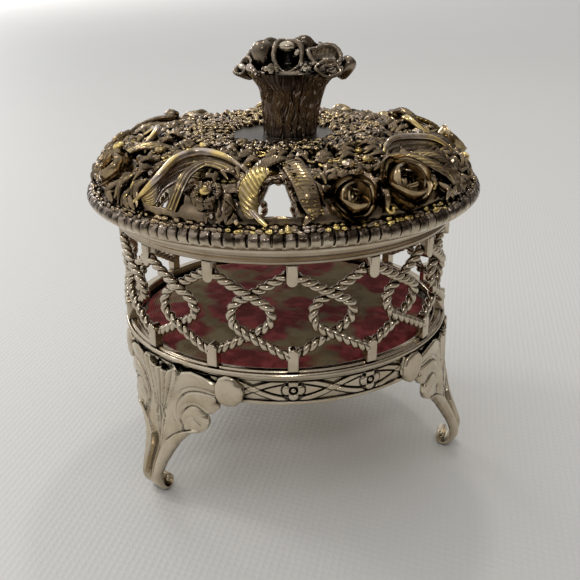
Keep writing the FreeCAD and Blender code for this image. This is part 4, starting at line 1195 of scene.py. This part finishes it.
def foot_relief(aside, height, half):
    """Relief of the leaf: a fan of flutes between three lapped shells, on a rolled shank."""
    reach = np.abs(aside)
    share = aside / np.interp(height, [14.0, 22.9, 29.2, 36.0], [0.5, 2.0, 4.8, 7.6])
    flutes = 0.85 * np.abs(np.sin(share * math.pi * 3.0)) ** 0.6 * smooth_step(14.0, 24.0, height)
    ridge = 0.22 * strip(np.abs(share), 1.0, 0.03, 0.12) * smooth_step(17.0, 25.0, height)
    x, z = reach - 9.6, height - 20.5
    turn = np.clip(np.degrees(np.arctan2(x, np.maximum(z, -30))), -90, 110)
    distance = np.hypot(x, z)
    inner = (5.2 + 0.034 * turn) * (1 + 0.05 * np.sin(np.radians(turn) * 5.0 + 0.6))
    outer = 9.2 + 0.075 * turn
    past_inner, past_outer = distance - inner, distance - outer
    within = np.clip(distance / inner, 0, 1)
    between = np.clip(past_inner / (outer - inner), 0, 1)
    beyond = np.clip(past_outer / 5.5, 0, 1)
    first = 0.14 + 0.24 * smooth_step(-85.0, 10.0, turn) + 0.22 * within * (1 - within ** 6)
    second = 0.13 + 0.40 * smooth_step(0.0, 0.7, between) - 0.10 * smooth_step(0.8, 1, between)
    third = 0.06 + 0.40 * smooth_step(0.0, 0.7, beyond) - 0.10 * strip(past_outer, 1.5, 0.05, 0.3)
    shells = np.where(past_inner < 0, first, np.where(past_outer < 0, second, third))
    drawn = smooth_step(-70.0, -5.0, turn) * (1 - smooth_step(60.0, 85.0, turn))
    lines = strip(past_inner, 0.12, 0.05, 0.24) + strip(past_outer, 0.12, 0.06, 0.26)
    fine = 0.55 * strip(past_outer, 1.4, 0.04, 0.3) + 0.5 * strip(past_inner, 1.3, 0.04, 0.3)
    fine = fine + 0.7 * strip(distance / inner, 0.52, 0.01, 0.09)
    shells = shells - 0.30 * (lines * (0.25 + 0.75 * drawn) + fine * drawn)
    lump = 0.45 * np.exp(-(((reach - 3.6) / 1.9) ** 2 + ((height - 21.2) / 2.8) ** 2))
    lump = lump * smooth_step(0.97, 1.06, np.abs(share))
    leaf_part = np.where(np.abs(share) < 1.0, flutes, shells) + ridge + lump
    inner_edge = np.interp(height, [8.0, 12.0, 14.5, 17.0, 18.8, 20.2], [1.25, 1.5, 2.4, 4.8, 7.6, 11.0])
    past_edge = reach - inner_edge
    width = np.maximum((half - inner_edge) / 2, 0.4)
    bulge = (reach - (inner_edge + half) / 2) / (width * 1.1)
    roll = 0.55 + 0.45 * np.sqrt(np.clip(1 - bulge ** 2, 0, 1))
    channel = -0.60 + 0.50 * np.exp(-(aside / 0.28) ** 2)
    channel = channel + smooth_step(12.0, 17.5, height) * (leaf_part - channel)
    on_roll = smooth_step(-0.25, 0.25, past_edge) * (1 - smooth_step(19.6, 20.6, height))
    relief = channel * (1 - on_roll) + roll * on_roll
    relief = relief - 0.20 * strip(past_edge, -0.1, 0.10, 0.25) * (height < 20.0) * (height > 6)
    low = smooth_step(2.0, 6.0, height)
    return relief * low + 0.30 * (1 - low)


def foot_top_edge(aside):
    """Height of the leaf's top edge: two flute tips, a notch each side, a lobe and the boss."""
    places, heights = np.array([
        (0.0, 33.9), (2.2, 33.4), (4.2, 34.6), (5.6, 36.0), (6.3, 35.4), (6.9, 33.8), (7.6, 34.9),
        (10.5, 35.7), (13.5, 35.2), (16.0, 34.3), (17.6, 33.6), (22.0, 33.4)]).T
    return np.interp(np.abs(aside), places, heights)


def make_foot():
    """One foot at -Y: a shell leaf on a curled shank, with an oval boss on each shoulder."""
    line = foot_side_line()
    along = unit(np.gradient(line, axis=0))
    normal = np.stack([-along[:, 1], along[:, 0]], -1)
    normal = normal * np.sign(normal[0, 0])
    length = path_lengths(line)
    heel = int(np.argmax(line[:, 0]))
    straight = np.where(np.arange(len(line)) <= heel, line[:, 1], line[heel, 1])[:, None]
    curl_length = np.maximum(length - length[heel], 0)[:, None]
    far, level = line[:, :1], line[:, 1:]
    normal_far, normal_up = normal[:, :1], normal[:, 1:]
    across = np.sin(np.linspace(-1, 1, 181) * math.pi / 2 * 0.96) / math.sin(math.pi / 2 * 0.96)
    half = np.where(curl_length > 0, 2.9 - 0.04 * curl_length, foot_half_width(straight))
    aside = across * half
    cut = FOOT_TOP - foot_top_edge(aside)
    sunk = cut * smooth_step(26.0, FOOT_TOP, straight)
    height = straight - sunk
    level = level - sunk
    relief = foot_relief(aside, height, half) * (1 - smooth_step(0.0, 3.0, curl_length))
    top_round = 0.5 * smooth_step(0.985, 1.0, (height + cut) / FOOT_TOP)
    out = relief - 0.55 * np.abs(across) ** 14 - top_round
    thick = 1.3 - 0.5 * smooth_step(0.0, 9.0, curl_length)
    angle = np.degrees(aside / FOOT_BEND)
    front = around(angle, far + normal_far * out, level + normal_up * out)
    back = around(angle, far - normal_far * thick, level - normal_up * thick)
    shape = Shape()
    shape.tube(np.concatenate([front, back[:, ::-1]], axis=1))
    turn = even_turns(72)
    reach, rise = columns([(3.6, -1.0), (3.65, -0.1), (3.6, 0.25), (3.4, 0.55), (3.0, 0.78), (2.3, 0.92),
                           (1.6, 1.0), (0.9, 1.05), (0.3, 1.07), (0.02, 1.07)])
    dent = 0.05 * np.sin(5 * turn + 2 * reach) * smooth_step(0.2, 0.9, rise)
    dent = dent * smooth_step(0.6, 1.8, reach)
    for side in (-1, 1):
        centre_angle = math.degrees(side * 20.4 / FOOT_BEND)
        wobble = 1 + 0.03 * np.cos(3 * turn + side) + 0.012 * np.cos(11 * turn)
        rings = stacked(reach * wobble * np.cos(turn), 1.12 * reach * wobble * np.sin(turn), rise + dent)
        shape.tube(rings @ basis(around(centre_angle, 1.0, 0.0)).T + around(centre_angle, 43.0, 32.3))
    return shape


def make_feet():
    one = make_foot()
    for name, turn in FEET.items():
        basket_piece("leaf_" + name, copies(one, [turn]), FOOT_SILVER, name)


# ---------------------------------------------------------------- pad
def coordinates(mesh):
    """A mesh's vertices as rows of x, y and z."""
    values = np.empty(len(mesh.vertices) * 3)
    mesh.vertices.foreach_get("co", values)
    return values.reshape(-1, 3)


def puffed(item, limit):
    """Blow the pad up as cloth, at ten times its size, and let no point move past the limit."""
    size, voxel, frames = 10.0, 0.0075, 20
    work = item.data.copy()
    work.transform(Matrix.Scale(size, 4))
    soft = placed("pad_work", work)
    cells = soft.modifiers.new("cells", "REMESH")
    cells.mode = "VOXEL"
    cells.voxel_size = voxel
    even = evaluated_mesh(soft)
    soft.modifiers.remove(cells)
    soft.data = even
    start = coordinates(even)
    height = start[:, 2] / size / MM
    away = np.hypot(start[:, 0], start[:, 1]) / size / MM
    glued = np.nonzero((height < PAD_LOW + 0.7) | (away > PAD_R - 0.8))[0]
    soft.vertex_groups.new(name="glued").add(glued.tolist(), 1.0, "REPLACE")
    cloth = soft.modifiers.new("cloth", "CLOTH")
    cloth.settings.quality = 5
    cloth.settings.mass = 0.3
    cloth.settings.bending_stiffness = 0.3
    cloth.settings.shrink_min = -0.03
    cloth.settings.use_pressure = True
    cloth.settings.uniform_pressure_force = 4.0
    cloth.settings.effector_weights.gravity = 0.0
    cloth.settings.vertex_group_mass = "glued"
    cloth.point_cache.frame_start = 1
    cloth.point_cache.frame_end = frames
    for frame_number in range(1, frames + 1):
        bpy.context.scene.frame_set(frame_number)
    blown = evaluated_mesh(soft)
    moved = coordinates(blown) - start
    distance = np.linalg.norm(moved, axis=1, keepdims=True)
    moved = moved * np.minimum(1.0, limit * MM * size / np.maximum(distance, 1e-9))
    even.vertices.foreach_set("co", ((start + moved) / size).ravel())
    even.materials.clear()
    for material in item.data.materials:
        even.materials.append(material)
    even.shade_smooth()
    even.update()
    item.data = even
    smooth = item.modifiers.new("smooth", "SUBSURF")
    smooth.levels = 1
    smooth.render_levels = 1
    bpy.data.objects.remove(soft)
    bpy.data.meshes.remove(blown)
    bpy.context.scene.frame_set(1)


def make_pad():
    """Cloth-covered pad: crowned, with a turned edge and slight puckers."""
    angles = even_turns(240, 360)
    steps = np.linspace(0.02, 1, 60)
    top = around(angles[:, None], steps * (PAD_R - 0.7), PAD_TOP - 0.35 - 0.6 * steps ** 6)
    top[..., 2] += 0.16 * fbm(top, 0.16) + 0.07 * fbm(top, 0.5, 2)
    rim = [(PAD_R - 0.25, PAD_TOP - 1.1), (PAD_R - 0.02, PAD_LOW + 0.45), (PAD_R - 0.2, PAD_LOW + 0.1),
           (PAD_R - 1.2, PAD_LOW + 0.02), (1.0, PAD_LOW + 0.02)]
    edge = revolved(np.array(rim), angles)
    edge[:, :2, 2] += 0.10 * np.cos(np.radians(angles) * 64)[:, None]
    shape = Shape()
    shape.tube(np.concatenate([top, edge], axis=1).transpose(1, 0, 2))
    item = show("pad_floral_cloth", shape, "floor_pad", CLOTH, ["pad_cover"])
    puffed(item, limit=0.5)


# ---------------------------------------------------------------- everything else
def dress_frame_nodes():
    """Give the CAD nodes that stay in view their own materials."""
    choices = {"floor_plate": SILVER, "locating_collar": SILVER, "lid_centre_disc": DISC,
               "knob_stud": STEEL, "knob_washer": STEEL, "knob_nut": STEEL, "pad_board": BOARD}
    for name, material in choices.items():
        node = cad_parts[name]
        if not node.material_slots:
            node.data.materials.append(None)
        for slot in node.material_slots:
            slot.material = material


def make_floor():
    mesh = bpy.data.meshes.new("floor")
    reach = 6.0
    corners = [(-reach, -reach, 0), (reach, -reach, 0), (reach, reach, 0), (-reach, reach, 0)]
    mesh.from_pydata(corners, [], [(0, 1, 2, 3)])
    nodes = material_nodes("pale_leatherette")
    grid = nodes.make("ShaderNodeMapping", {"Vector": nodes.place, "Scale": (1.0, 0.8, 1.0),
                                            "Rotation": (0.0, 0.0, math.radians(33))}).outputs["Vector"]
    dimples = nodes.ramp(nodes.cells(640.0, randomness=0.12, place=grid), 0.18, 0.55)
    tone = nodes.mix(nodes.noise(3.0), (0.80, 0.79, 0.765), (0.76, 0.75, 0.72))
    mesh.materials.append(nodes.finish(tone, 0.55, nodes.bump(dimples, 0.045)))
    placed("floor", mesh)


def area_light(name, place, aim, size, watts, colour=(1.0, 1.0, 1.0)):
    data = bpy.data.lights.new(name, "AREA")
    data.shape = "RECTANGLE"
    data.size, data.size_y = size
    data.energy = watts
    data.color = colour
    light = placed(name, data)
    light.location = place
    light.rotation_euler = (Vector(aim) - Vector(place)).to_track_quat("-Z", "Y").to_euler()


def make_light():
    """Room light, brighter above and on the window side, with a window and a weak fill."""
    world = bpy.data.worlds.new("soft_room")
    bpy.context.scene.world = world
    nodes = Nodes(world, "Generated")
    toward = nodes.make("ShaderNodeVectorMath", {0: nodes.place, 1: (-0.45, 0.42, 0.79)},
                        operation="DOT_PRODUCT")
    share = nodes.ramp(toward.outputs["Value"], -0.15, 0.9)
    background = nodes.tree.nodes["Background"]
    nodes.feed(background.inputs["Color"], nodes.mix(share, (0.19, 0.175, 0.16), (0.95, 0.96, 0.97)))
    background.inputs["Strength"].default_value = 0.83
    area_light("window", (-0.46, 0.42, 0.70), (0, 0, 0.05), (0.17, 0.17), 0.75, (1.0, 0.99, 0.97))
    area_light("far_window", (-0.7, 3.2, 1.0), (0.1, 2.9, 0.0), (1.6, 0.6), 22.0)
    area_light("lamp", (0.16, 0.34, 0.72), (0, 0, 0.08), (0.055, 0.055), 0.5, (1.0, 0.95, 0.88))
    area_light("fill", (-0.14, -0.55, 0.55), (-0.03, -0.2, 0.0), (0.11, 0.08), 0.4)


def make_camera():
    """Camera at the angle from which the jar is seen, a little above it."""
    facing, away, high, pitch, roll = -15.0, 204.0, 126.0, 22.7, -0.9
    data = bpy.data.cameras.new("camera")
    data.sensor_width = 36.0
    data.lens = 49.66
    data.shift_x = 0.0085
    data.clip_start = 0.005
    camera = placed("camera", data)
    camera.location = around(facing, away, high) * MM
    turns = [Matrix.Rotation(math.radians(angle), 4, axis)
             for angle, axis in ((facing, "Z"), (90 - pitch, "X"), (roll, "Z"))]
    camera.rotation_euler = (turns[0] @ turns[1] @ turns[2]).to_euler()
    bpy.context.scene.camera = camera


make_rim()
make_openwork()
make_roses()
make_buds()
make_crossed_leaves()
make_arches()
make_foliage()
make_grains()
make_stem()
make_head()
make_rings()
make_posts()
make_ropes()
make_band()
make_feet()
make_pad()
dress_frame_nodes()
make_floor()
make_light()
make_camera()
bpy.context.scene.view_settings.view_transform = "Standard"
